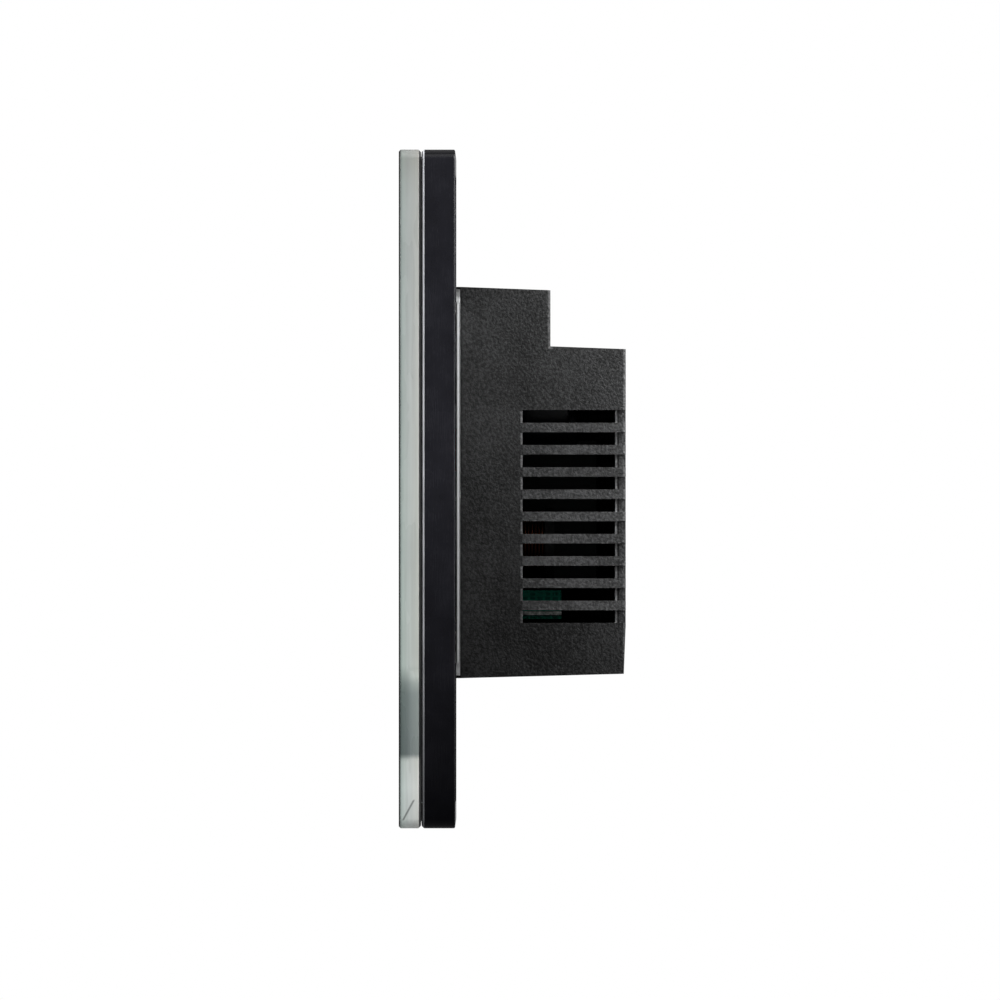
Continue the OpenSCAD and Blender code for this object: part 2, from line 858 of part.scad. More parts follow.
module terminal_body() {
    side = terminal_xs[terminal_count - 1] + terminal_pitch / 2 + terminal_side;
    color(terminal_green) difference() {
        block([-side, board_rear, terminal_body_z[0]], [side, terminal_body_rear, terminal_body_z[1]]);
        for (x = terminal_xs) {
            block(
                [x - chamber_half_w, chamber_y[0], chamber_z[0]],
                [x + chamber_half_w, chamber_y[1], chamber_z[1]]
            );
            block(
                [x - contact_half_w - running_gap, board_rear - overshoot, contact_leg_z[0] - running_gap],
                [x + contact_half_w + running_gap, contact_y[1] + running_gap, chamber_z[0] + eps]
            );
            block(
                [x - wire_entry_half_w, wire_entry_y[0], chamber_z[1] - eps],
                [x + wire_entry_half_w, wire_entry_y[1], terminal_body_z[1] + overshoot]
            );
            rod([x, terminal_z], body_driver_hole_r, chamber_y[1] - eps, terminal_body_rear + overshoot);
        }
    }
}

// Fixed contact bars with their solder legs.
module terminal_contacts() {
    bar_top = chamber_z[1] - 0.2;
    color(steel) for (x = terminal_xs) {
        block(
            [x - contact_half_w, contact_y[0], contact_leg_z[0]],
            [x + contact_half_w, contact_y[1], bar_top]
        );
        block(
            [x - contact_half_w, contact_leg_end, contact_leg_z[0]],
            [x + contact_half_w, contact_y[1], contact_leg_z[1]]
        );
    }
}

module terminal_screw(i) {
    at = [terminal_xs[i - 1], terminal_z];
    color(zinc) difference() {
        union() {
            rod(at, screw_head_r, screw_head_y[0], screw_head_y[1]);
            rod(at, clamp_bore_r - running_gap, screw_tip, screw_head_y[0] + eps);
        }
        driver_slot(
            at, terminal_slot[0], 2 * screw_head_r + overshoot,
            screw_head_y[1] - terminal_slot[1], screw_head_y[1] + overshoot
        );
    }
}

// Cage that the screw lifts to grip the wire against the contact bar.
module terminal_clamp(i) {
    x = terminal_xs[i - 1];
    color(zinc) difference() {
        block(
            [x - clamp_half_w, clamp_y[0], terminal_z - clamp_half_z],
            [x + clamp_half_w, clamp_y[1], terminal_z + clamp_half_z]
        );
        block(
            [x - clamp_window_half_w, clamp_y[0] + clamp_wall, terminal_z - clamp_half_z - overshoot],
            [x + clamp_window_half_w, clamp_y[1] - clamp_wall, terminal_z + clamp_half_z + overshoot]
        );
        rod([x, terminal_z], clamp_bore_r, clamp_y[1] - clamp_wall - overshoot, clamp_y[1] + overshoot);
    }
}

// ---------- Output ----------

glass_panel();
ink_mask();
glass_adhesive();
key_light_guides();
status_light_guide();
touch_board();
key_leds();
status_leds();
touch_controller();
touch_passives();
buzzer();
pin_header_body();
header_pins();
front_frame();
front_clips();
mounting_plate();
plate_screws();
insulation_sheet();
back_housing();
rating_label();
main_board();
board_screws();
board_socket();
relay();
inductor();
filter_capacitors();
voltage_regulator();
microcontroller();
main_passives();
antenna_board();
antenna_solder_strip();
antenna_header();
tamper_switch_body();
tamper_plunger();
reset_switch_body();
reset_button();
dip_switch_body();
terminal_body();
terminal_contacts();
for (i = [1:dip_count]) dip_slider(i);
for (i = [1:terminal_count]) terminal_screw(i);
for (i = [1:terminal_count]) terminal_clamp(i);
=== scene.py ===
"""Looks of the flush-mounted alarm keypad panel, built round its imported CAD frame.

Every piece takes its place from the CAD nodes. Lengths are metres in the frame's own axes:
+X right as seen from the room, +Y into the wall, +Z up. The camera looks at the side toward +X.
"""

import json
import math
import random

import bmesh
import bpy
from mathutils import Matrix, Vector


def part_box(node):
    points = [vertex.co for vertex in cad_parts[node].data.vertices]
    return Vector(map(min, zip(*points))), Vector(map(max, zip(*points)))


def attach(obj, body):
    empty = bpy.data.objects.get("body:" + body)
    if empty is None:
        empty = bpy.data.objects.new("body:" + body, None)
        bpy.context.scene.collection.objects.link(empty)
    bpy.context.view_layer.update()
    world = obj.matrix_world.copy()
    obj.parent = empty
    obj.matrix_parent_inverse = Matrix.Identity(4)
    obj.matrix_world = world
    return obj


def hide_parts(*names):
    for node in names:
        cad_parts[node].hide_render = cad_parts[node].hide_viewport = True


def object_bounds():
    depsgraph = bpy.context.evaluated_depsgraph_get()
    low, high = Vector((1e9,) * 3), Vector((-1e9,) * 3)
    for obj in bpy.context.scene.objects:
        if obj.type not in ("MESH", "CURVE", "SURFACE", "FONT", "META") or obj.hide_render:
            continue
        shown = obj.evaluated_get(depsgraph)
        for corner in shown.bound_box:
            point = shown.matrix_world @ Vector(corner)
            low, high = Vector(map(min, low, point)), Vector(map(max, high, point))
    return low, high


MM = 0.001
SEED = 7

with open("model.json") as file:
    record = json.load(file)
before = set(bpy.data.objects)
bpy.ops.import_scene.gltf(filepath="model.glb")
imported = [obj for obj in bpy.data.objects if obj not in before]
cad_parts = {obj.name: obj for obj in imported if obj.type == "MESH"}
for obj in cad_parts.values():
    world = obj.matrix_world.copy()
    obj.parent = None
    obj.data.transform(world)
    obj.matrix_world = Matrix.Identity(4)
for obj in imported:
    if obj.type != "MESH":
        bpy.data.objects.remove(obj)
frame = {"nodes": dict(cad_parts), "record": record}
cad_low, cad_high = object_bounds()
nodes = frame["nodes"]


# ---------- Camera, stage and light ----------

PANEL_SHARE_OF_PICTURE = 0.679
CAMERA_DISTANCE = 3.2
CAMERA_OFFSET = Vector((0, -1.6 * MM, -1.4 * MM))
SENSOR = 36.0
FLOOR_DEPTH = 0.6
FLOOR_RADIUS = 3.0
DOME_LOW, DOME_HIGH = 0.04, 0.3
DOME_BEHIND = 0.55
# Name, place, width and height, power in watts. All of them aim at the middle of the panel.
LIGHTS = [
    ("side_softbox", (0.24, 0.10, 0.25), (0.20, 0.20), 0.45),
    ("rear_softbox", (0.26, 0.30, 0.17), (0.16, 0.26), 1.1),
    ("front_softbox", (0.28, -0.34, 0.15), (0.12, 0.26), 0.8),
    ("front_strip", (0.05, -0.45, 0.20), (0.14, 0.34), 2.0),
    ("rear_strip", (0.05, 0.45, 0.20), (0.14, 0.34), 2.0),
    ("overhead", (0.0, 0.0, 0.6), (0.5, 0.5), 0.9),
]


def make_camera():
    """Camera square to the panel's right-hand edge, through a long lens."""
    low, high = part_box("glass_panel")
    picture_width = (high.z - low.z) / PANEL_SHARE_OF_PICTURE
    centre = (cad_low + cad_high) / 2 + CAMERA_OFFSET
    data = bpy.data.cameras.new("side_camera")
    data.sensor_width = SENSOR
    data.lens = SENSOR * CAMERA_DISTANCE / picture_width
    data.clip_start = 0.1
    data.clip_end = 60
    camera = bpy.data.objects.new("side_camera", data)
    camera.location = (high.x + CAMERA_DISTANCE, centre.y, centre.z)
    camera.rotation_euler = (math.pi / 2, 0, math.pi / 2)
    bpy.context.scene.collection.objects.link(camera)
    bpy.context.scene.camera = camera


def make_world():
    """White behind the object; a soft studio dome, brighter above and on the far side, lights it."""
    world = bpy.data.worlds.new("studio")
    bpy.context.scene.world = world
    world.use_nodes = True
    tree = world.node_tree
    tree.nodes.clear()
    out = tree.nodes.new("ShaderNodeOutputWorld")
    mix = tree.nodes.new("ShaderNodeMixShader")
    path = tree.nodes.new("ShaderNodeLightPath")
    seen = tree.nodes.new("ShaderNodeBackground")
    dome = tree.nodes.new("ShaderNodeBackground")
    coords = tree.nodes.new("ShaderNodeTexCoord")
    split = tree.nodes.new("ShaderNodeSeparateXYZ")
    tree.links.new(coords.outputs["Generated"], split.inputs[0])
    up = value_range(tree, split.outputs["Z"], DOME_LOW, DOME_HIGH, -0.4, 0.9)
    away = value_range(tree, split.outputs["X"], 0.0, DOME_BEHIND, 0.2, -1.0)
    seen.inputs["Color"].default_value = (1, 1, 1, 1)
    seen.inputs["Strength"].default_value = 1.0
    tree.links.new(total(tree, up, away), dome.inputs["Strength"])
    tree.links.new(path.outputs["Is Camera Ray"], mix.inputs["Fac"])
    tree.links.new(dome.outputs[0], mix.inputs[1])
    tree.links.new(seen.outputs[0], mix.inputs[2])
    tree.links.new(mix.outputs[0], out.inputs["Surface"])


def make_floor():
    """Pale round floor well below the panel, open to a camera that looks up from under it."""
    mesh = bpy.data.meshes.new("floor")
    bm = bmesh.new()
    bmesh.ops.create_circle(bm, cap_ends=True, segments=96, radius=FLOOR_RADIUS)
    bm.to_mesh(mesh)
    bm.free()
    floor = bpy.data.objects.new("floor", mesh)
    floor.location.z = -FLOOR_DEPTH
    bpy.context.scene.collection.objects.link(floor)
    mat, tree, shader = new_material("pale_floor")
    shader.inputs["Base Color"].default_value = (0.8, 0.8, 0.8, 1)
    shader.inputs["Roughness"].default_value = 0.9
    glow = tree.nodes.new("ShaderNodeEmission")
    clear = tree.nodes.new("ShaderNodeBsdfTransparent")
    path = tree.nodes.new("ShaderNodeLightPath")
    side = tree.nodes.new("ShaderNodeNewGeometry")
    seen = tree.nodes.new("ShaderNodeMixShader")
    below = tree.nodes.new("ShaderNodeMixShader")
    tree.links.new(path.outputs["Is Camera Ray"], seen.inputs["Fac"])
    tree.links.new(shader.outputs[0], seen.inputs[1])
    tree.links.new(glow.outputs[0], seen.inputs[2])
    tree.links.new(side.outputs["Backfacing"], below.inputs["Fac"])
    tree.links.new(seen.outputs[0], below.inputs[1])
    tree.links.new(clear.outputs[0], below.inputs[2])
    tree.links.new(below.outputs[0], tree.nodes["Material Output"].inputs["Surface"])
    mesh.materials.append(mat)


def make_lights():
    """Softboxes on the camera's side, strips ahead and behind, and one large light overhead."""
    for name, place, size, power in LIGHTS:
        data = bpy.data.lights.new(name, "AREA")
        data.shape = "RECTANGLE"
        data.size, data.size_y = size
        data.energy = power
        light = bpy.data.objects.new(name, data)
        light.location = place
        light.rotation_euler = (-Vector(place)).to_track_quat("-Z", "Y").to_euler()
        light.visible_camera = False
        bpy.context.scene.collection.objects.link(light)


# ---------- Shader helpers ----------

def new_material(name):
    """Material with its node tree and shader."""
    mat = bpy.data.materials.new(name)
    mat.use_nodes = True
    return mat, mat.node_tree, mat.node_tree.nodes["Principled BSDF"]


def object_coordinates(tree, stretch=(1, 1, 1)):
    """Object coordinates; a stretch below one draws a pattern out along that axis."""
    coords = tree.nodes.new("ShaderNodeTexCoord")
    mapping = tree.nodes.new("ShaderNodeMapping")
    mapping.inputs["Scale"].default_value = stretch
    tree.links.new(coords.outputs["Object"], mapping.inputs["Vector"])
    return mapping.outputs[0]


def object_axes(tree):
    """Object coordinates as three values: x, y and z."""
    split = tree.nodes.new("ShaderNodeSeparateXYZ")
    tree.links.new(object_coordinates(tree), split.inputs[0])
    return tuple(split.outputs)


def noise(tree, vector, feature, detail=2.0, roughness=0.5):
    """Noise whose blobs are about one feature across, in metres."""
    tex = tree.nodes.new("ShaderNodeTexNoise")
    tex.inputs["Scale"].default_value = 1 / feature
    tex.inputs["Detail"].default_value = detail
    tex.inputs["Roughness"].default_value = roughness
    tree.links.new(vector, tex.inputs["Vector"])
    return tex.outputs["Fac"]


def ramp(tree, value, stops):
    """Colour ramp: stops are (place, colour)."""
    node = tree.nodes.new("ShaderNodeValToRGB")
    while len(node.color_ramp.elements) < len(stops):
        node.color_ramp.elements.new(0.5)
    for element, (place, colour) in zip(node.color_ramp.elements, stops):
        element.position = place
        element.color = (*colour, 1)
    tree.links.new(value, node.inputs["Fac"])
    return node.outputs["Color"]


def scaled(colour, factor):
    return tuple(c * factor for c in colour)


def shades(tree, value, colour, darkest, lightest, start=0.3, end=0.7):
    """One colour, from a darker shade of it where the value is at start to a lighter one at end."""
    return ramp(tree, value, [(start, scaled(colour, darkest)), (end, scaled(colour, lightest))])


def value_range(tree, value, low, high, from_low=0.3, from_high=0.7):
    """From low to high as the value goes from from_low to from_high, and no further."""
    node = tree.nodes.new("ShaderNodeMapRange")
    node.inputs["From Min"].default_value = from_low
    node.inputs["From Max"].default_value = from_high
    node.inputs["To Min"].default_value = low
    node.inputs["To Max"].default_value = high
    tree.links.new(value, node.inputs["Value"])
    return node.outputs[0]


def math_node(tree, operation, a, b=0):
    """Arithmetic on two values, each a number or a node's output."""
    node = tree.nodes.new("ShaderNodeMath")
    node.operation = operation
    for socket, value in zip(node.inputs, (a, b)):
        if isinstance(value, (int, float)):
            socket.default_value = value
        else:
            tree.links.new(value, socket)
    return node.outputs[0]


def product(tree, first, *others):
    for other in others:
        first = math_node(tree, "MULTIPLY", first, other)
    return first


def total(tree, first, *others):
    for other in others:
        first = math_node(tree, "ADD", first, other)
    return first


def blend(tree, first, second, share):
    """The given share of the first value and the rest of the second."""
    return total(tree, product(tree, first, share), product(tree, second, 1 - share))


def inside(tree, value, start, end, blur=0.05 * MM):
    """One between start and end, nought outside."""
    after = value_range(tree, value, 0.0, 1.0, start - blur, start + blur)
    before = value_range(tree, value, 1.0, 0.0, end - blur, end + blur)
    return product(tree, after, before)


def shade_across(tree, node, axis, low_value, high_value, reach=1.0):
    """Value that runs along one axis of a CAD node's box, over the given share of it, then stays."""
    index = "XYZ".index(axis)
    low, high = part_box(node)
    start = low[index]
    end = start + (high[index] - start) * reach
    return value_range(tree, object_axes(tree)[index], low_value, high_value, start, end)


def scale_colour(tree, colour, factor):
    node = tree.nodes.new("ShaderNodeVectorMath")
    node.operation = "SCALE"
    tree.links.new(colour, node.inputs[0])
    tree.links.new(factor, node.inputs["Scale"])
    return node.outputs[0]


def mix_colours(tree, first, second, blend_type, share=None):
    """Two colours mixed by a share, or wholly where there is none."""
    node = tree.nodes.new("ShaderNodeMix")
    node.data_type = "RGBA"
    node.blend_type = blend_type
    node.inputs[0].default_value = 1.0
    if share is not None:
        tree.links.new(share, node.inputs[0])
    tree.links.new(first, node.inputs[6])
    tree.links.new(second, node.inputs[7])
    return node.outputs[2]


def bump(tree, shader, height, distance):
    node = tree.nodes.new("ShaderNodeBump")
    node.inputs["Strength"].default_value = 1.0
    node.inputs["Distance"].default_value = distance
    tree.links.new(height, node.inputs["Height"])
    tree.links.new(node.outputs[0], shader.inputs["Normal"])


# ---------- Housing material ----------

HOUSING_GRAIN = 0.34 * MM
HOUSING_GRAIN_DEPTH = 0.11 * MM
HOUSING_PATCH = 7 * MM
# Painted light of the housing: a painted shadow along its front over this share of its depth, then widths and
# strengths of painted highlights.
FRONT_SHADOW_SHARE = 0.045
EDGE_HIGHLIGHT_WIDTH = 0.3 * MM
SLOT_EDGE = 0.25 * MM
END_FACE_HIGHLIGHT = 1.7
END_EDGE_HIGHLIGHT = 10.0
FRONT_EDGE_HIGHLIGHT = 3.0
LOWEST_RIB_HIGHLIGHT, HIGHEST_RIB_HIGHLIGHT = 1.4, 0.45
CORNER_HIGHLIGHT = 2.4


def housing_places():
    """Vent and step places of the back box, read from its own corners."""
    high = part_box("back_housing")[1]
    near = 0.01 * MM
    points = [vertex.co for vertex in nodes["back_housing"].data.vertices]
    rear = [p for p in points if high.y - p.y < near]
    outer_x = max(p.x for p in rear)
    slot_x = max(p.x for p in rear if p.x < outer_x - MM)
    slot_ends = [p for p in points if abs(p.x - slot_x) < near]
    heights = sorted({round(p.z, 6) for p in slot_ends})
    rear_top = max(p.z for p in rear)
    on_side = [p for p in points if p.x > outer_x + near and abs(p.z - heights[0]) < near]
    return {
        "vent_front": min(p.y for p in on_side),
        "rear_wall": min(p.y for p in slot_ends),
        "rear": high.y,
        "vent_bottom": heights[0],
        "vent_top": heights[-1],
        "vent_height": heights[1] - heights[0],
        "vent_pitch": heights[2] - heights[0],
        "slot_x": slot_x,
        "outer_x": outer_x,
        "step_y": max(p.y for p in points if p.z > rear_top + MM),
        "step_z": rear_top,
    }


def vent_shine(tree, at, width, depth, height):
    """Painted highlights: extra brightness of the ribs between the vents, of the slots' end faces and of
    their edges.
    """
    slot_ends = inside(tree, width, at["slot_x"] - 0.5 * MM, at["slot_x"] + 0.5 * MM)
    face = inside(tree, depth, at["rear_wall"] + 2 * SLOT_EDGE, at["rear"])
    edge = inside(tree, depth, at["rear_wall"] - SLOT_EDGE, at["rear_wall"] + SLOT_EDGE)
    face_and_edge = total(tree, product(tree, face, END_FACE_HIGHLIGHT), product(tree, edge, END_EDGE_HIGHLIGHT))
    ends = product(tree, slot_ends, face_and_edge)

    below_top = math_node(tree, "SUBTRACT", at["vent_top"], height)
    below_slot_top = math_node(tree, "MODULO", below_top, at["vent_pitch"])
    in_slot = inside(tree, below_slot_top, 0.1 * MM, at["vent_height"])
    front_edge = inside(tree, depth, at["vent_front"] - SLOT_EDGE, at["vent_front"] + SLOT_EDGE / 2)
    front = product(tree, front_edge, in_slot, FRONT_EDGE_HIGHLIGHT)

    past_wrap = value_range(tree, width, 0.0, 1.0, at["slot_x"], at["slot_x"] + 0.3 * MM)
    shine = value_range(tree, height, LOWEST_RIB_HIGHLIGHT, HIGHEST_RIB_HIGHLIGHT, at["vent_bottom"], at["vent_top"])
    ribs = product(tree, inside(tree, depth, at["vent_front"], at["rear"] + MM), past_wrap, shine)
    in_vents = inside(tree, height, at["vent_bottom"], at["vent_top"])
    return product(tree, total(tree, ends, front, ribs), in_vents)


def corner_wear(tree, at, width, depth, height):
    """Painted highlights: extra brightness of the box's rear edge and of its step, where the side wall ends.
    """
    outer = value_range(tree, width, 0.0, 1.0, at["outer_x"] - EDGE_HIGHLIGHT_WIDTH / 2, at["outer_x"] - EDGE_HIGHLIGHT_WIDTH / 6)
    rear_edge = inside(tree, depth, at["rear"] - EDGE_HIGHLIGHT_WIDTH, at["rear"] + MM, 0.1 * MM)
    step_edge = inside(tree, depth, at["step_y"] - EDGE_HIGHLIGHT_WIDTH, at["step_y"] + EDGE_HIGHLIGHT_WIDTH, 0.1 * MM)
    above_step = value_range(tree, height, 0.0, 1.0, at["step_z"], at["step_z"] + 0.1 * MM)
    corners = math_node(tree, "MAXIMUM", rear_edge, product(tree, step_edge, above_step))
    return product(tree, corners, outer, CORNER_HIGHLIGHT)


def housing_shine(tree):
    """Painted light on the housing: one on its plain walls, painted highlights round the vents and on its
    rear and step edges.
    """
    at = housing_places()
    x, depth, height = object_axes(tree)
    width = math_node(tree, "ABSOLUTE", x)
    vents = vent_shine(tree, at, width, depth, height)
    corners = corner_wear(tree, at, width, depth, height)
    return total(tree, vents, corners, 1.0)


def spark_eroded_plastic(name, colour, rough=0.42):
    """Moulded plastic with a spark-eroded grain: fine pits over a mottle; painted shade low and at the front,
    painted highlights at vents and edges.
    """
    mat, tree, shader = new_material(name)
    vector = object_coordinates(tree)
    fine = noise(tree, vector, HOUSING_GRAIN, 3.0, 0.65)
    coarse = noise(tree, vector, 3 * HOUSING_GRAIN, 2.0)
    patch = noise(tree, vector, HOUSING_PATCH, 3.0, 0.6)
    bump(tree, shader, total(tree, fine, product(tree, coarse, 0.5)), HOUSING_GRAIN_DEPTH)
    mottle = blend(tree, fine, patch, 0.75)
    tint = ramp(tree, mottle, [(0.4, scaled(colour, 0.25)), (0.5, colour), (0.6, scaled(colour, 2.6))])
    # Painted shade: darker toward the bottom and toward the front, with a painted shadow along the front
    # edge.
    rise = shade_across(tree, "back_housing", "Z", 0.42, 1.0)
    run = shade_across(tree, "back_housing", "Y", 0.6, 1.3)
    front_shadow = shade_across(tree, "back_housing", "Y", 0.3, 1.0, FRONT_SHADOW_SHARE)
    painted_light = product(tree, rise, run, front_shadow, housing_shine(tree))
    tree.links.new(scale_colour(tree, tint, painted_light), shader.inputs["Base Color"])
    tree.links.new(product(tree, painted_light, 0.5), shader.inputs["Specular IOR Level"])
    gloss = value_range(tree, blend(tree, fine, patch, 0.5), rough - 0.1, rough + 0.14, 0.38, 0.62)
    tree.links.new(gloss, shader.inputs["Roughness"])
    return mat


# ---------- Other plastics and metals ----------

def gloss_plastic(name, colour, rough):
    """Polished moulding: faint orange peel, hairline scratches and a little dust in the gloss."""
    mat, tree, shader = new_material(name)
    vector = object_coordinates(tree)
    peel = noise(tree, vector, 0.9 * MM, 1.0)
    scratches = noise(tree, object_coordinates(tree, (1, 1, 0.05)), 0.12 * MM, 2.0)
    dust = noise(tree, vector, 5 * MM, 3.0, 0.6)
    bump(tree, shader, total(tree, peel, product(tree, scratches, 0.1)), 0.0015 * MM)
    tree.links.new(shades(tree, dust, colour, 0.8, 1.3), shader.inputs["Base Color"])
    wear = blend(tree, scratches, dust, 0.4)
    tree.links.new(value_range(tree, wear, rough * 0.7, rough * 1.5), shader.inputs["Roughness"])
    return mat


# Depths behind the frame's front between which its bevel is coloured as a painted highlight line.
BEVEL_HIGHLIGHT_START, BEVEL_HIGHLIGHT_END = 0.13 * MM, 0.34 * MM


def frame_moulding(name, colour, highlight_colour, rough):
    """Glossy black moulding with painted shade, darker toward its foot and near its top, and a pale painted
    highlight line on its front bevel.
    """
    mat = gloss_plastic(name, colour, rough)
    tree = mat.node_tree
    shader = tree.nodes["Principled BSDF"]
    body = shader.inputs["Base Color"].links[0].from_socket
    low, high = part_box("front_frame")
    depth, height = object_axes(tree)[1:]
    # Painted highlight: the band of the front bevel that is coloured pale.
    seam = inside(tree, depth, low.y + BEVEL_HIGHLIGHT_START, low.y + BEVEL_HIGHLIGHT_END, 0.03 * MM)
    # Painted shade: darker toward the foot and near the top corner.
    rise = shade_across(tree, "front_frame", "Z", 0.15, 1.0, 0.55)
    corner = value_range(tree, height, 1.0, 0.3, high.z - 1.1 * MM, high.z - 0.5 * MM)
    painted_light = product(tree, rise, corner)
    # Streaks along the painted highlight line, whose paleness also fades with the painted shade.
    wear = noise(tree, object_coordinates(tree, (1, 1, 0.1)), 0.5 * MM, 2.0)
    highlight_fade = value_range(tree, rise, 0.16, 1.05, 0.15, 1.0)
    pale = scale_colour(tree, shades(tree, wear, highlight_colour, 0.75, 1.15), highlight_fade)
    black = scale_colour(tree, body, painted_light)
    tree.links.new(mix_colours(tree, black, pale, "MIX", seam), shader.inputs["Base Color"])
    tree.links.new(product(tree, painted_light, 0.4), shader.inputs["Specular IOR Level"])
    return mat


def satin_plastic(name, colour, rough=0.42, grain=0.12 * MM, cloudy=0.14):
    """Fine satin moulding with faint clouds."""
    mat, tree, shader = new_material(name)
    vector = object_coordinates(tree)
    fine = noise(tree, vector, grain, 2.0)
    cloud = noise(tree, vector, 2.5 * MM, 2.0)
    bump(tree, shader, fine, 0.004 * MM)
    tree.links.new(shades(tree, cloud, colour, 1 - cloudy, 1 + cloudy), shader.inputs["Base Color"])
    tree.links.new(value_range(tree, fine, rough - 0.06, rough + 0.06), shader.inputs["Roughness"])
    return mat


def plated_steel(name, colour, rough=0.32, stretch=(0.06, 1, 1), grain=0.09 * MM, contrast=0.1):
    """Plated metal: rolled grain, drawn out along X unless told otherwise, over a fine spangle."""
    mat, tree, shader = new_material(name)
    shader.inputs["Metallic"].default_value = 1.0
    rolled = noise(tree, object_coordinates(tree, stretch), grain, 3.0, 0.6)
    spangle = noise(tree, object_coordinates(tree), 6 * grain, 2.0, 0.6)
    bump(tree, shader, rolled, 0.002 * MM)
    tone = blend(tree, rolled, spangle, 0.6)
    tint = shades(tree, tone, colour, 1 - contrast, 1 + contrast, 0.35, 0.65)
    tree.links.new(tint, shader.inputs["Base Color"])
    tree.links.new(value_range(tree, tone, rough - 0.05, rough + 0.05), shader.inputs["Roughness"])
    return mat


def plate_edge(mat):
    """The plate's steel with painted light: brighter toward its top, a painted highlight along the middle of
    its sheared edge, painted shade beside it and near its top corner.
    """
    tree = mat.node_tree
    shader = tree.nodes["Principled BSDF"]
    colour = shader.inputs["Base Color"].links[0].from_socket
    low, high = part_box("mounting_plate")
    x, depth, height = object_axes(tree)
    # Painted light: brighter toward the top, painted shade near the top corner and beside the middle band of
    # the edge.
    rise = shade_across(tree, "mounting_plate", "Z", 0.65, 1.5)
    corner = value_range(tree, height, 1.0, 0.25, high.z - 2.0 * MM, high.z - 1.2 * MM)
    middle = inside(tree, depth, low.y + 0.14 * MM, high.y - 0.08 * MM, 0.04 * MM)
    rim = value_range(tree, math_node(tree, "ABSOLUTE", x), 0.0, 1.0, high.x - 0.1 * MM, high.x)
    away_from_rim = math_node(tree, "SUBTRACT", 1.0, rim)
    rim_highlight = total(tree, value_range(tree, middle, 0.35, 1.0, 0.0, 1.0), away_from_rim)
    painted_light = product(tree, rise, math_node(tree, "MINIMUM", rim_highlight, 1.0), corner)
    tree.links.new(scale_colour(tree, colour, painted_light), shader.inputs["Base Color"])
    dull = product(tree, rim, middle, 0.85)
    tree.links.new(math_node(tree, "SUBTRACT", 1.0, dull), shader.inputs["Metallic"])
    return mat


# ---------- Glass ----------

# Tint across the ground edge: (share of the thickness from the front, colour). The pale middle is the edge's
# own tint; the dark bands at both ends are painted shade and the light stop before the rear band is a painted
# highlight.
EDGE_ACROSS = [
    (0.0, (0.02, 0.02, 0.02)), (0.065, (0.03, 0.033, 0.032)), (0.09, (0.24, 0.28, 0.27)),
    (0.17, (0.37, 0.42, 0.40)), (0.45, (0.42, 0.45, 0.44)), (0.86, (0.45, 0.46, 0.44)),
    (0.895, (0.55, 0.55, 0.53)), (0.91, (0.045, 0.046, 0.046)), (1.0, (0.03, 0.03, 0.03)),
]
# Shade along the ground edge: (share of the height from the foot, factor for each colour). It is a painted
# reflection: lighter at the foot, a dark band low down, darker toward the top.
EDGE_ALONG = [
    (0.0, (1.12, 1.12, 1.12)), (0.06, (1.38, 1.38, 1.38)), (0.1, (1.22, 1.22, 1.2)),
    (0.108, (0.31, 0.34, 0.345)), (0.198, (0.36, 0.4, 0.4)), (0.214, (0.5, 0.54, 0.53)),
    (0.24, (1.1, 1.13, 1.1)), (0.7, (0.96, 0.96, 0.96)), (0.93, (0.82, 0.82, 0.82)),
    (0.985, (0.7, 0.69, 0.67)), (1.0, (0.42, 0.41, 0.4)),
]
# Height shares of the dark band in the painted reflection, and the blur of its ends.
EDGE_DARK_ZONE = (0.104, 0.23)
EDGE_DARK_ZONE_BLUR = 0.006
# Ends of a painted reflection, a diagonal dark line: share of the thickness from the front, and height above
# the foot.
CORNER_REFLECTION_TOP = (0.6857, 3.6 * MM)
CORNER_REFLECTION_FOOT = (0.1893, 1.03 * MM)
CORNER_REFLECTION_WIDTH = 0.16 * MM
CORNER_REFLECTION_SHADE = 0.4


def polished_glass(name):
    """Clear float glass with the faintest waviness and a trace of finger haze."""
    mat, tree, shader = new_material(name)
    shader.inputs["Base Color"].default_value = (0.93, 0.97, 0.95, 1)
    shader.inputs["Transmission Weight"].default_value = 1.0
    shader.inputs["IOR"].default_value = 1.52
    vector = object_coordinates(tree)
    haze = noise(tree, vector, 7 * MM, 3.0, 0.6)
    tree.links.new(value_range(tree, haze, 0.0, 0.03), shader.inputs["Roughness"])
    bump(tree, shader, noise(tree, vector, 9 * MM, 1.0), 0.002 * MM)
    return mat


def scratch(tree):
    """Factor that darkens one straight line on the glass edge toward +X: a painted reflection."""
    low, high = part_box("glass_panel")
    x, y, z = object_axes(tree)
    (y0, z0), (y1, z1) = [
        (low.y + (high.y - low.y) * share, low.z + rise) for share, rise in (CORNER_REFLECTION_TOP, CORNER_REFLECTION_FOOT)
    ]
    length = math.hypot(y1 - y0, z1 - z0)
    off_y = product(tree, math_node(tree, "SUBTRACT", y, y0), (z1 - z0) / length)
    off_z = product(tree, math_node(tree, "SUBTRACT", z, z0), (y0 - y1) / length)
    off = math_node(tree, "ABSOLUTE", total(tree, off_y, off_z))
    line = value_range(tree, off, 1.0, 0.0, CORNER_REFLECTION_WIDTH * 0.4, CORNER_REFLECTION_WIDTH)
    in_reach = inside(tree, z, z1, z0, 0.1 * MM)
    right_side = value_range(tree, x, 0.0, 1.0, 0.0, MM)
    return value_range(tree, product(tree, line, in_reach, right_side), 1.0, CORNER_REFLECTION_SHADE, 0.0, 1.0)


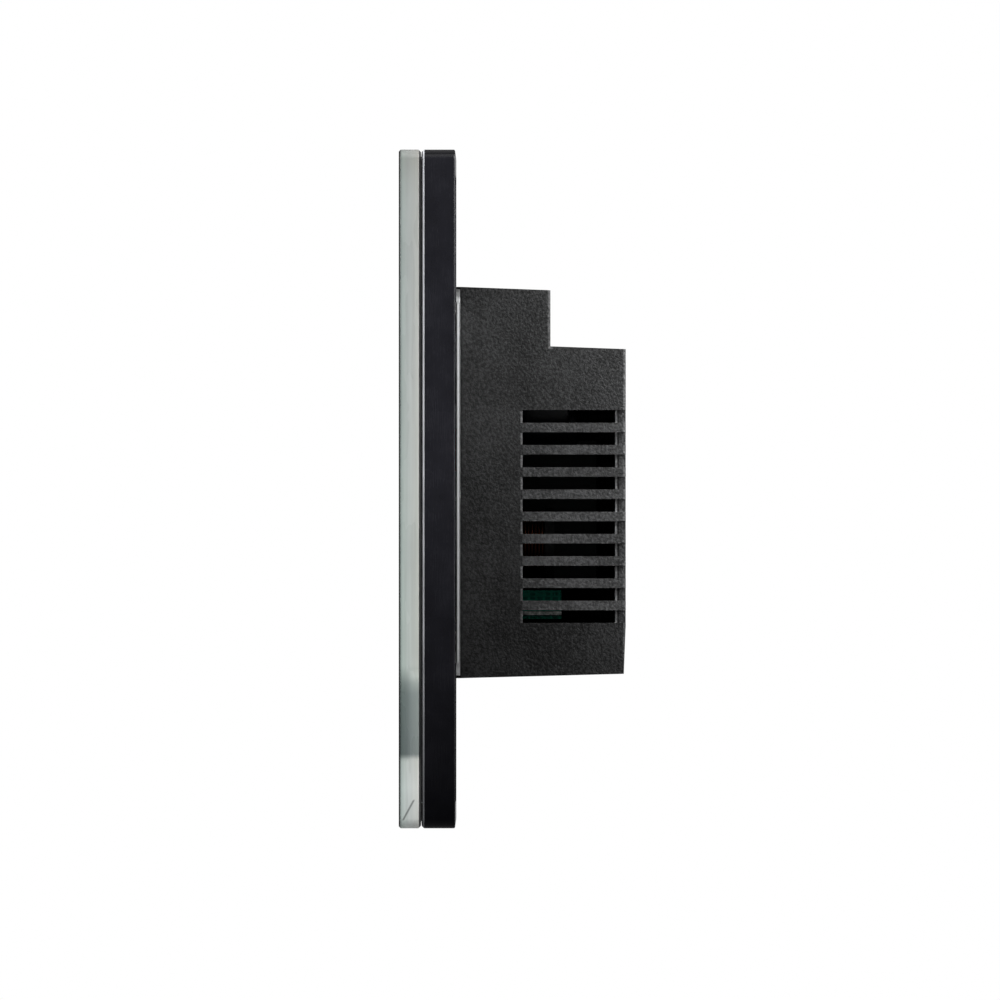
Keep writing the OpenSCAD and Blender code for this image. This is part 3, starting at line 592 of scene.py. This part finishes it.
def ground_edge(name):
    """Finely ground glass edge: pale green-grey and streaked along its length, with painted reflections: dark
    bands at its bevels, lighter at its foot, a dark band near its foot and darker toward its top.
    """
    mat, tree, shader = new_material(name)
    across = shade_across(tree, "glass_panel", "Y", 0.0, 1.0)
    along = shade_across(tree, "glass_panel", "Z", 0.0, 1.0)
    streak = noise(tree, object_coordinates(tree, (1, 1, 0.02)), 0.35 * MM, 2.0)
    cloud = noise(tree, object_coordinates(tree, (1, 1, 0.25)), 2.2 * MM, 2.0)
    tint = mix_colours(tree, ramp(tree, across, EDGE_ACROSS), ramp(tree, along, EDGE_ALONG), "MULTIPLY")
    grain = value_range(tree, blend(tree, streak, cloud, 0.5), 0.9, 1.08, 0.35, 0.65)
    dark_zone = inside(tree, along, *EDGE_DARK_ZONE, EDGE_DARK_ZONE_BLUR)
    # Painted reflection: the dark band is lighter toward the back of the edge.
    zone_lightening = product(tree, dark_zone, value_range(tree, across, 0.0, 0.5, 0.35, 0.7))
    # The grain factor also carries the painted reflections: the diagonal dark line and the lighter back of
    # the dark band.
    grain = product(tree, grain, scratch(tree), total(tree, zone_lightening, 1.0))
    tree.links.new(scale_colour(tree, tint, grain), shader.inputs["Base Color"])
    tree.links.new(value_range(tree, cloud, 0.22, 0.34), shader.inputs["Roughness"])
    tree.links.new(value_range(tree, across, 0.02, 0.5, 0.06, 0.1), shader.inputs["Specular IOR Level"])
    return mat


# ---------- Boards and lights ----------

# Two sets of tracks: rows per metre, and the way they run.
BOARD_TRACKS = ((420, 0.0), (260, math.pi / 2))


def printed_board(name, mask=(0.012, 0.115, 0.07), copper=(0.03, 0.20, 0.12), shine=0.5):
    """Solder mask over raised copper tracks."""
    mat, tree, shader = new_material(name)
    x, y, z = object_axes(tree)
    face = tree.nodes.new("ShaderNodeCombineXYZ")
    tree.links.new(total(tree, x, y), face.inputs[0])
    tree.links.new(z, face.inputs[1])
    tracks = []
    for scale, turn in BOARD_TRACKS:
        mapping = tree.nodes.new("ShaderNodeMapping")
        mapping.inputs["Rotation"].default_value = (0, 0, turn)
        brick = tree.nodes.new("ShaderNodeTexBrick")
        brick.inputs["Scale"].default_value = scale
        brick.inputs["Mortar Size"].default_value = 0.045
        brick.inputs["Mortar Smooth"].default_value = 0.3
        brick.offset = 0.37
        brick.squash = 1.6
        brick.squash_frequency = 3
        tree.links.new(face.outputs[0], mapping.inputs["Vector"])
        tree.links.new(mapping.outputs[0], brick.inputs["Vector"])
        tracks.append(brick.outputs["Fac"])
    track = math_node(tree, "MAXIMUM", *tracks)
    cloud = noise(tree, object_coordinates(tree), 1.2 * MM, 2.0)
    bump(tree, shader, total(tree, track, product(tree, cloud, 0.2)), 0.02 * MM)
    tree.links.new(ramp(tree, track, [(0.2, mask), (0.8, copper)]), shader.inputs["Base Color"])
    tree.links.new(value_range(tree, cloud, 0.24, 0.38), shader.inputs["Roughness"])
    tree.links.new(value_range(tree, cloud, shine * 0.9, shine * 1.1), shader.inputs["Specular IOR Level"])
    return mat


def milky_diffuser(name, colour, glow=0.0):
    """Cloudy translucent plastic, with its own light where it stands for a lit mark."""
    mat, tree, shader = new_material(name)
    haze = noise(tree, object_coordinates(tree), 0.4 * MM, 2.0)
    tree.links.new(shades(tree, haze, colour, 0.92, 1.0), shader.inputs["Base Color"])
    tree.links.new(value_range(tree, haze, 0.35, 0.5), shader.inputs["Roughness"])
    shader.inputs["Subsurface Weight"].default_value = 0.3
    shader.inputs["Subsurface Radius"].default_value = (0.3 * MM, 0.3 * MM, 0.3 * MM)
    shader.inputs["Emission Color"].default_value = (*colour, 1)
    shader.inputs["Emission Strength"].default_value = glow
    return mat


# ---------- List of materials ----------

EVEN = (1, 1, 1)


def make_materials():
    """Looks by name: first those of the CAD material slots, then those that only this script uses."""
    return {
        "clear_glass": polished_glass("clear_glass_look"),
        "black_ink": gloss_plastic("black_ink_look", (0.004, 0.004, 0.005), 0.3),
        "black_adhesive": satin_plastic("adhesive_look", (0.012, 0.012, 0.012), 0.6),
        "milky_diffuser": milky_diffuser("diffuser_look", (0.75, 0.78, 0.8), 0.15),
        "green_board": printed_board("board_look"),
        "led_package": milky_diffuser("led_look", (0.80, 0.76, 0.52)),
        "chip_package": satin_plastic("chip_look", (0.013, 0.013, 0.014), 0.55),
        "chip_terminals": plated_steel("passive_look", (0.32, 0.29, 0.25), 0.4),
        "header_plastic": satin_plastic("header_look", (0.012, 0.012, 0.012), 0.5),
        "pin_brass": plated_steel("pin_look", (0.72, 0.52, 0.22), 0.25),
        # The frame's second colour is the pale of its painted highlight line.
        "frame_plastic": frame_moulding("frame_look", (0.010, 0.010, 0.0135), (0.55, 0.56, 0.59), 0.22),
        "plate_steel": plate_edge(plated_steel("plate_look", (0.60, 0.61, 0.62))),
        "screw_steel": plated_steel("screw_look", (0.50, 0.50, 0.49), 0.3, EVEN, 0.3 * MM, 0.05),
        "insulation_film": satin_plastic("film_look", (0.62, 0.58, 0.46), 0.55),
        "housing_plastic": spark_eroded_plastic("housing_look", (0.013, 0.0132, 0.0136)),
        "label_film": satin_plastic("label_look", (0.52, 0.53, 0.53), 0.4, 0.08 * MM, 0.03),
        "relay_case": satin_plastic("relay_look", (0.004, 0.0045, 0.006), 0.5),
        "ferrite": satin_plastic("ferrite_look", (0.012, 0.012, 0.013), 0.6),
        "capacitor_sleeve": gloss_plastic("capacitor_look", (0.006, 0.007, 0.012), 0.3),
        "solder_tin": plated_steel("solder_look", (0.70, 0.71, 0.70), 0.3),
        "plunger_plastic": satin_plastic("plunger_look", (0.68, 0.66, 0.58)),
        "switch_can": plated_steel("can_look", (0.62, 0.61, 0.58), 0.3),
        "switch_red": satin_plastic("dip_look", (0.32, 0.014, 0.012), 0.4),
        "terminal_green": satin_plastic("terminal_look", (0.02, 0.16, 0.05), 0.4),
        "ground_edge": ground_edge("ground_edge_look"),
        "legend": milky_diffuser("legend_look", (0.82, 0.86, 0.9), 0.55),
        "dim_legend": milky_diffuser("dim_legend_look", (0.30, 0.33, 0.36), 0.08),
        "status_green": milky_diffuser("status_green_look", (0.10, 0.75, 0.25), 1.2),
        "print_ink": satin_plastic("print_ink_look", (0.02, 0.02, 0.022), 0.5),
        # Darker copies of the board and tin looks: painted shade for the antenna board and its solder strip.
        "shaded_board": printed_board("riser_look", (0.002, 0.045, 0.032), (0.004, 0.075, 0.05), 0.06),
        "shaded_tin": plated_steel("tinned_edge_look", (0.38, 0.39, 0.38), 0.4, EVEN, 0.45 * MM, 0.95),
        "copper_wire": plated_steel("copper_look", (0.10, 0.03, 0.015), 0.35),
    }


# ---------- CAD nodes ----------

FLAT_ANGLE = math.radians(1)
SHARP_ANGLE = math.radians(35)
ROUND_SEGMENTS = 2
DEFAULT_SOFT_EDGE = 0.05 * MM
SOFT_EDGES = {
    "back_housing": 0.2 * MM,
    "front_frame": 0.12 * MM,
    "mounting_plate": 0.06 * MM,
    "terminal_body": 0.12 * MM,
    "plate_screws": 0.12 * MM,
    "board_screws": 0.1 * MM,
}
KEEP_AS_PACKED = {"ink_mask"}
# Nodes whose look isn't that of their material slot, because the photo shows them in deep shade.
LOOK_OF_NODE = {"antenna_board": "shaded_board", "antenna_solder_strip": "shaded_tin"}


def round_modifier(obj, width):
    bevel = obj.modifiers.new("round", "BEVEL")
    bevel.width = width
    bevel.segments = ROUND_SEGMENTS
    bevel.limit_method = "ANGLE"
    bevel.angle_limit = SHARP_ANGLE
    bevel.harden_normals = True


def soften(obj, width):
    """Small rounds on a CAD node's sharp edges, by modifiers alone."""
    mesh = obj.data
    if "custom_normal" in mesh.attributes:
        mesh.attributes.remove(mesh.attributes["custom_normal"])
    mesh.shade_smooth()
    weld = obj.modifiers.new("weld", "WELD")
    weld.merge_threshold = 0.001 * MM
    flat = obj.modifiers.new("flat", "DECIMATE")
    flat.decimate_type = "DISSOLVE"
    flat.angle_limit = FLAT_ANGLE
    round_modifier(obj, width)
    normals = obj.modifiers.new("normals", "WEIGHTED_NORMAL")
    normals.keep_sharp = True


def dress_cad_nodes(materials):
    """Materials and soft edges for every node that the frame carries."""
    slot_of = {part["node"]: part["material_slot"] for part in frame["record"]["subparts"]}
    for name, obj in nodes.items():
        obj.data.materials.clear()
        obj.data.materials.append(materials[LOOK_OF_NODE.get(name, slot_of[name])])
        if name not in KEEP_AS_PACKED:
            soften(obj, SOFT_EDGES.get(name, DEFAULT_SOFT_EDGE))


# ---------- Mesh helpers ----------

def new_object(name, mesh, body, material, replaced=()):
    """Object that rides on a body, fills a material slot and stands in for the CAD nodes replaced."""
    obj = bpy.data.objects.new(name, mesh)
    bpy.context.scene.collection.objects.link(obj)
    if not mesh.materials:
        mesh.materials.append(material)
    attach(obj, body)
    if replaced:
        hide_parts(*replaced)
    return obj


def piece(name, bm, body, material, replaced=(), round_edges=0.02 * MM):
    """A finished piece from bmesh geometry, with its sharp edges rounded."""
    bmesh.ops.recalc_face_normals(bm, faces=bm.faces)
    mesh = bpy.data.meshes.new(name)
    bm.to_mesh(mesh)
    bm.free()
    mesh.shade_smooth()
    obj = new_object(name, mesh, body, material, replaced)
    round_modifier(obj, round_edges)
    return obj


def add_block(bm, low, high):
    """Block between two opposite corners."""
    low, high = Vector(low), Vector(high)
    matrix = Matrix.Translation((low + high) / 2) @ Matrix.Diagonal((*(high - low), 1))
    bmesh.ops.create_cube(bm, size=1, matrix=matrix)


def add_turned(bm, x, z, profile, sides=48):
    """Solid turned about an axis along Y through (x, z); profile lists (y, radius) from end to end."""
    rings = []
    turns = [2 * math.pi * i / sides for i in range(sides)]
    for y, r in profile:
        rings.append([bm.verts.new((x + r * math.cos(a), y, z + r * math.sin(a))) for a in turns])
    for first, second in zip(rings, rings[1:]):
        for i in range(sides):
            j = (i + 1) % sides
            bm.faces.new((first[i], first[j], second[j], second[i]))
    bm.faces.new(rings[0])
    bm.faces.new(rings[-1])


def add_flat(bm, outline, y0, y1):
    """Thin plate between depths y0 and y1 with an outline of (x, z) points."""
    front = [bm.verts.new((x, y0, z)) for x, z in outline]
    back = [bm.verts.new((x, y1, z)) for x, z in outline]
    bm.faces.new(front)
    bm.faces.new(back)
    count = len(outline)
    for i in range(count):
        j = (i + 1) % count
        bm.faces.new((front[i], front[j], back[j], back[i]))


def arc(x, z, r, start, end, steps=24):
    """Points (x, z) along an arc; angles are in degrees from +X toward +Z."""
    angles = [math.radians(start + (end - start) * i / steps) for i in range(steps + 1)]
    return [(x + r * math.cos(a), z + r * math.sin(a)) for a in angles]


def add_arc_band(bm, x, z, r, width, start, end, y0, y1):
    """Flat band along an arc, less than a whole turn long."""
    outer = arc(x, z, r + width / 2, start, end)
    inner = arc(x, z, r - width / 2, end, start)
    add_flat(bm, outer + inner, y0, y1)


# ---------- Keypad face ----------

KEY_ROWS = 4
LEGEND_T = 0.03 * MM
DIGIT_SIZE = 7.4 * MM
KEY_GUIDE_R = 4.1 * MM
RING_R = 5.9 * MM
RING_W = 0.16 * MM
STATUS_R = 0.55 * MM
STATUS_SIDES = 24
STATUS_INSET = 1.3 * MM


def key_places():
    """Key centres as rows of (x, z), from the top row down."""
    low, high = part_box("key_light_guides")
    left, right = low.x + KEY_GUIDE_R, high.x - KEY_GUIDE_R
    bottom, top = low.z + KEY_GUIDE_R, high.z - KEY_GUIDE_R
    xs = [left, (left + right) / 2, right]
    zs = [top + (bottom - top) * i / (KEY_ROWS - 1) for i in range(KEY_ROWS)]
    return [[(x, z) for x in xs] for z in zs]


def legend_depths():
    """Front and rear of the marks, which stand a little proud of the ink mask and reach into it."""
    ink_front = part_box("ink_mask")[0].y
    return ink_front - LEGEND_T / 4, ink_front + LEGEND_T


def make_digit(digit, x, z, material):
    """Digit in the built-in typeface, centred on its key."""
    y0, y1 = legend_depths()
    curve = bpy.data.curves.new(f"digit_{digit}", "FONT")
    curve.body = str(digit)
    curve.size = DIGIT_SIZE
    curve.align_x, curve.align_y = "CENTER", "CENTER"
    curve.extrude = (y1 - y0) / 2
    curve.resolution_u = 6
    text = bpy.data.objects.new("text", curve)
    bpy.context.scene.collection.objects.link(text)
    bpy.context.view_layer.update()
    mesh = bpy.data.meshes.new_from_object(text.evaluated_get(bpy.context.evaluated_depsgraph_get()))
    bpy.data.objects.remove(text)
    mesh.transform(Matrix.Rotation(math.pi / 2, 4, "X"))
    xs = [v.co.x for v in mesh.vertices]
    zs = [v.co.z for v in mesh.vertices]
    shift = (x - (min(xs) + max(xs)) / 2, (y0 + y1) / 2, z - (min(zs) + max(zs)) / 2)
    mesh.transform(Matrix.Translation(shift))
    mesh.name = f"key_{digit}"
    mesh.materials.clear()
    new_object(f"key_{digit}", mesh, "front_panel", material)


def make_padlock(name, x, z, opened, material):
    """Padlock mark; an opened one has its shackle turned out to the right, with a short outer leg."""
    y0, y1 = legend_depths()
    body_w, body_h, corner = 4.4 * MM, 3.3 * MM, 0.45 * MM
    shackle_r, band, leg, leg_gap = 1.35 * MM, 0.5 * MM, 0.8 * MM, 0.5 * MM
    top = z + 0.2 * MM
    right, left = x + body_w / 2 - corner, x - body_w / 2 + corner
    upper, lower = top - corner, top - body_h + corner
    outline = []
    for i, (corner_x, corner_z) in enumerate(((right, upper), (left, upper), (left, lower), (right, lower))):
        outline += arc(corner_x, corner_z, corner, 90 * i, 90 * (i + 1), 6)
    bm = bmesh.new()
    add_flat(bm, outline, y0, y1)
    shift = 2 * shackle_r if opened else 0
    add_arc_band(bm, x + shift, top + leg, shackle_r, band, 0, 180, y0, y1)
    for side in (-1, 1):
        middle = x + shift + side * shackle_r
        foot = top + (leg_gap if opened and side > 0 else 0)
        add_block(bm, (middle - band / 2, y0, foot), (middle + band / 2, y1, top + leg))
    piece(name, bm, "front_panel", material)


def make_key_rings(places, material):
    """Thin ring round every key, each of two half turns."""
    y0, y1 = legend_depths()
    bm = bmesh.new()
    for x, z in places:
        for start in (0, 180):
            add_arc_band(bm, x, z, RING_R, RING_W, start, start + 180, y0, y1)
    piece("key_rings", bm, "front_panel", material)


def make_keypad(looks):
    """Digits 1 to 9 on three rows, then arm, 0 and disarm."""
    rows = key_places()
    for digit in range(1, 10):
        make_digit(digit, *rows[(digit - 1) // 3][(digit - 1) % 3], looks["legend"])
    make_digit(0, *rows[3][1], looks["legend"])
    make_padlock("key_arm", *rows[3][0], False, looks["legend"])
    make_padlock("key_disarm", *rows[3][2], True, looks["legend"])
    make_key_rings([place for row in rows for place in row], looks["dim_legend"])
    make_status_lights(looks)


def make_status_lights(looks):
    """Three dots over the status lamps, of which the middle one is lit."""
    y0, y1 = legend_depths()
    low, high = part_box("status_leds")
    z = (low.z + high.z) / 2
    half = (high.x - low.x) / 2 - STATUS_INSET
    dots = [("left", -half, "dim_legend"), ("middle", 0, "status_green"), ("right", half, "dim_legend")]
    for name, x, look in dots:
        bm = bmesh.new()
        add_flat(bm, arc(x, z, STATUS_R, 0, 360 - 360 / STATUS_SIDES, STATUS_SIDES - 1), y0, y1)
        piece(f"status_{name}", bm, "front_panel", looks[look])


def make_glass(looks):
    """The glass takes the CAD form, with ground edges and polished faces as two materials."""
    mesh = nodes["glass_panel"].data.copy()
    mesh.name = "glass_front"
    mesh.materials.clear()
    mesh.materials.append(looks["clear_glass"])
    mesh.materials.append(looks["ground_edge"])
    for polygon in mesh.polygons:
        polygon.material_index = 0 if abs(polygon.normal.y) > 0.9 else 1
    new_object("glass_front", mesh, "front_panel", looks["clear_glass"], ["glass_panel"])


# ---------- Rating label ----------

PRINT_T = 0.02 * MM
PRINT_LINE = 0.15 * MM
PRINT_MARGIN = 0.8 * MM
PRINT_MIDDLE_SHARE = 0.42
BARS_FROM_SHARE = 0.45
BARS_INSET = 1.2 * MM
BAR_WIDTHS = (0.12, 0.2, 0.32)
BAR_GAPS = (0.16, 0.26)
SQUARES_INSET = 2.6 * MM
SQUARE_HALVES = (1.6 * MM, 0.9 * MM)


def make_label_print(looks):
    """Generic marks on the rating label: frame lines, bars and two nested squares."""
    low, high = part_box("rating_label")
    y0, y1 = high.y - PRINT_T / 2, high.y + PRINT_T / 2
    line = PRINT_LINE
    left, right = low.x + PRINT_MARGIN, high.x - PRINT_MARGIN
    bottom, top = low.z + PRINT_MARGIN, high.z - PRINT_MARGIN
    middle = bottom + (top - bottom) * PRINT_MIDDLE_SHARE
    bm = bmesh.new()
    for z in (bottom, middle, top):
        add_block(bm, (left, y0, z - line / 2), (right, y1, z + line / 2))
    for x in (left, right):
        add_block(bm, (x - line / 2, y0, bottom), (x + line / 2, y1, top))
    x = right - BARS_INSET
    while x > left + (right - left) * BARS_FROM_SHARE:
        width = random.choice(BAR_WIDTHS) * MM
        add_block(bm, (x - width, y0, bottom + PRINT_MARGIN), (x, y1, middle - PRINT_MARGIN))
        x -= width + random.choice(BAR_GAPS) * MM
    square_x, square_z = left + SQUARES_INSET, (bottom + middle) / 2
    for half in SQUARE_HALVES:
        for side in (-1, 1):
            edge_x, edge_z = square_x + side * half, square_z + side * half
            add_block(bm, (edge_x - line / 2, y0, square_z - half), (edge_x + line / 2, y1, square_z + half))
            add_block(bm, (square_x - half, y0, edge_z - line / 2), (square_x + half, y1, edge_z + line / 2))
    piece("label_print", bm, "back_box", looks["print_ink"])


# ---------- Parts on the boards ----------

def make_relay(looks):
    """Relay case on a slightly smaller base, with a raised panel on its top."""
    low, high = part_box("relay")
    seam = low.y + 0.7 * MM
    base, margin, panel_rise = 0.25 * MM, 1.6 * MM, 0.15 * MM
    bm = bmesh.new()
    add_block(bm, (low.x + base, low.y, low.z + base), (high.x - base, seam, high.z - base))
    add_block(bm, (low.x, seam, low.z), (high.x, high.y - panel_rise, high.z))
    panel_foot = high.y - panel_rise - 0.05 * MM
    add_block(bm, (low.x + margin, panel_foot, low.z + margin), (high.x - margin, high.y, high.z - margin))
    piece("relay_case", bm, "back_box", looks["relay_case"], ["relay"], 0.3 * MM)


def make_winding(looks):
    """Copper winding between the flanges of the drum core."""
    low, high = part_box("inductor")
    x, z = (low.x + high.x) / 2, (low.z + high.z) / 2
    flange, wire, core_r = 1.2 * MM, 0.22 * MM, 4.1 * MM
    start, end = low.y + flange, high.y - flange
    turns = int((end - start) / (2 * wire))
    profile = []
    for i in range(turns):
        for step in range(6):
            angle = math.pi * step / 5
            profile.append((start + (2 * i + 1 - math.cos(angle)) * wire, core_r + wire * math.sin(angle)))
    bm = bmesh.new()
    add_turned(bm, x, z, profile)
    piece("inductor_winding", bm, "back_box", looks["copper_wire"])


def make_capacitor(name, x, z, r, y0, y1, looks):
    """Sleeved can with a crimp near the board and a scored aluminium end."""
    crimp, depth, shoulder = 1.6 * MM, 0.25 * MM, 0.35 * MM
    profile = [(y0, r - 0.5 * MM), (y0, r - 0.15 * MM), (y0 + 0.2 * MM, r), (y0 + crimp - 0.4 * MM, r)]
    profile += [(y0 + crimp, r - depth), (y0 + crimp + 0.4 * MM, r), (y1 - shoulder, r)]
    profile += [(y1 - 0.1 * MM, r - 0.1 * MM), (y1, r - shoulder), (y1, r - 2 * shoulder)]
    profile += [(y1 - 0.15 * MM, r - 2 * shoulder)]
    bm = bmesh.new()
    add_turned(bm, x, z, profile)
    sleeve = piece(f"{name}_sleeve", bm, "back_box", looks["capacitor_sleeve"])
    bm = bmesh.new()
    reach, gap, end_r = 0.25 * MM, 0.12 * MM, r - 2.1 * shoulder
    for start in range(0, 360, 90):
        centre = Vector((math.cos(math.radians(start + 45)), math.sin(math.radians(start + 45)))) * gap
        outline = [(x + centre.x, z + centre.y)]
        outline += arc(x + centre.x, z + centre.y, end_r - gap, start, start + 90, 10)
        add_flat(bm, outline, y1 - reach, y1 - 0.05 * MM)
    piece(f"{name}_end", bm, "back_box", looks["solder_tin"])
    return sleeve


def make_capacitors(looks):
    """Two cans fill the CAD node's box: the larger at its left, the smaller at its top right."""
    low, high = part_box("filter_capacitors")
    large_r, small_r, shorter = 4.0 * MM, 3.15 * MM, 1.0 * MM
    large = make_capacitor("large_capacitor", low.x + large_r, low.z + large_r, large_r, low.y, high.y, looks)
    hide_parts("filter_capacitors")
    make_capacitor(
        "small_capacitor", high.x - small_r, high.z - small_r, small_r, low.y, high.y - shorter, looks
    )


LEAD_REACH = 0.75 * MM
LEAD_W = 0.3 * MM
LEAD_T = 0.15 * MM


def lead_spans(foot, shoulder):
    """Foot, leg and shoulder of a gull-wing lead: (near and far from the outer end, low and high)."""
    foot_end, leg_start, into_body = LEAD_REACH * 0.6, LEAD_REACH * 0.45, 0.1 * MM
    return [
        (0.0, foot_end, foot, foot + LEAD_T),
        (leg_start, foot_end, foot, shoulder),
        (leg_start, LEAD_REACH + into_body, shoulder - LEAD_T, shoulder),
    ]


def make_leaded_chip(node, name, per_side, body, looks):
    """Chip with gull-wing leads on four sides, inside the CAD node's box."""
    low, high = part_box(node)
    inner_low = low + Vector((LEAD_REACH, 0.1 * MM, LEAD_REACH))
    inner_high = high - Vector((LEAD_REACH, 0, LEAD_REACH))
    bm = bmesh.new()
    add_block(bm, inner_low, inner_high)
    piece(name, bm, body, looks["chip_package"], [node], 0.08 * MM)
    spans = lead_spans(low.y, low.y + (high.y - low.y) * 0.55)
    pitch = (inner_high.x - inner_low.x) / (per_side + 0.5)
    middle = (low + high) / 2
    bm = bmesh.new()
    for i in range(per_side):
        offset = (i - (per_side - 1) / 2) * pitch
        for side in (-1, 1):
            for axis, across in ((0, 2), (2, 0)):
                edge = (low if side < 0 else high)[axis]
                for near, far, y0, y1 in spans:
                    start, end = Vector((0, y0, 0)), Vector((0, y1, 0))
                    start[axis], end[axis] = sorted((edge - side * near, edge - side * far))
                    start[across] = middle[across] + offset - LEAD_W / 2
                    end[across] = middle[across] + offset + LEAD_W / 2
                    add_block(bm, start, end)
    piece(f"{name}_leads", bm, body, looks["solder_tin"])


def make_regulator(looks):
    """Power package with a tab at its top and three bent legs at its foot."""
    low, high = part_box("voltage_regulator")
    tab, tab_t, tab_inset, legs = 1.3 * MM, 0.5 * MM, 0.6 * MM, 1.3 * MM
    leg_w, leg_t, leg_pitch, leg_top = 0.7 * MM, 0.3 * MM, 2.3 * MM, 1.1 * MM
    overlap = 0.2 * MM
    bm = bmesh.new()
    add_block(bm, (low.x, low.y + 0.1 * MM, low.z + legs), (high.x, high.y, high.z - tab))
    black = looks["chip_package"]
    piece("regulator_body", bm, "back_box", black, ["voltage_regulator"], 0.12 * MM)
    bm = bmesh.new()
    tab_low = (low.x + tab_inset, low.y, high.z - tab - overlap)
    add_block(bm, tab_low, (high.x - tab_inset, low.y + tab_t, high.z))
    bend = low.z + legs * 0.4
    for i in (-1, 0, 1):
        left = (low.x + high.x) / 2 + i * leg_pitch - leg_w / 2
        right = left + leg_w
        add_block(bm, (left, low.y, low.z), (right, low.y + leg_t, low.z + legs * 0.6))
        add_block(bm, (left, low.y, bend), (right, low.y + leg_top, low.z + legs * 0.7))
        add_block(bm, (left, low.y + leg_top - leg_t, bend), (right, low.y + leg_top, low.z + legs + overlap))
    piece("regulator_leads", bm, "back_box", looks["solder_tin"], (), 0.04 * MM)


def make_board_parts(looks):
    make_relay(looks)
    make_winding(looks)
    make_capacitors(looks)
    make_leaded_chip("microcontroller", "microcontroller_body", 9, "back_box", looks)
    make_leaded_chip("touch_controller", "touch_controller_body", 7, "front_panel", looks)
    make_regulator(looks)


def main():
    random.seed(SEED)
    make_camera()
    make_world()
    make_floor()
    make_lights()
    looks = make_materials()
    dress_cad_nodes(looks)
    make_glass(looks)
    make_keypad(looks)
    make_label_print(looks)
    make_board_parts(looks)
    bpy.context.scene.view_settings.view_transform = "Standard"


main()
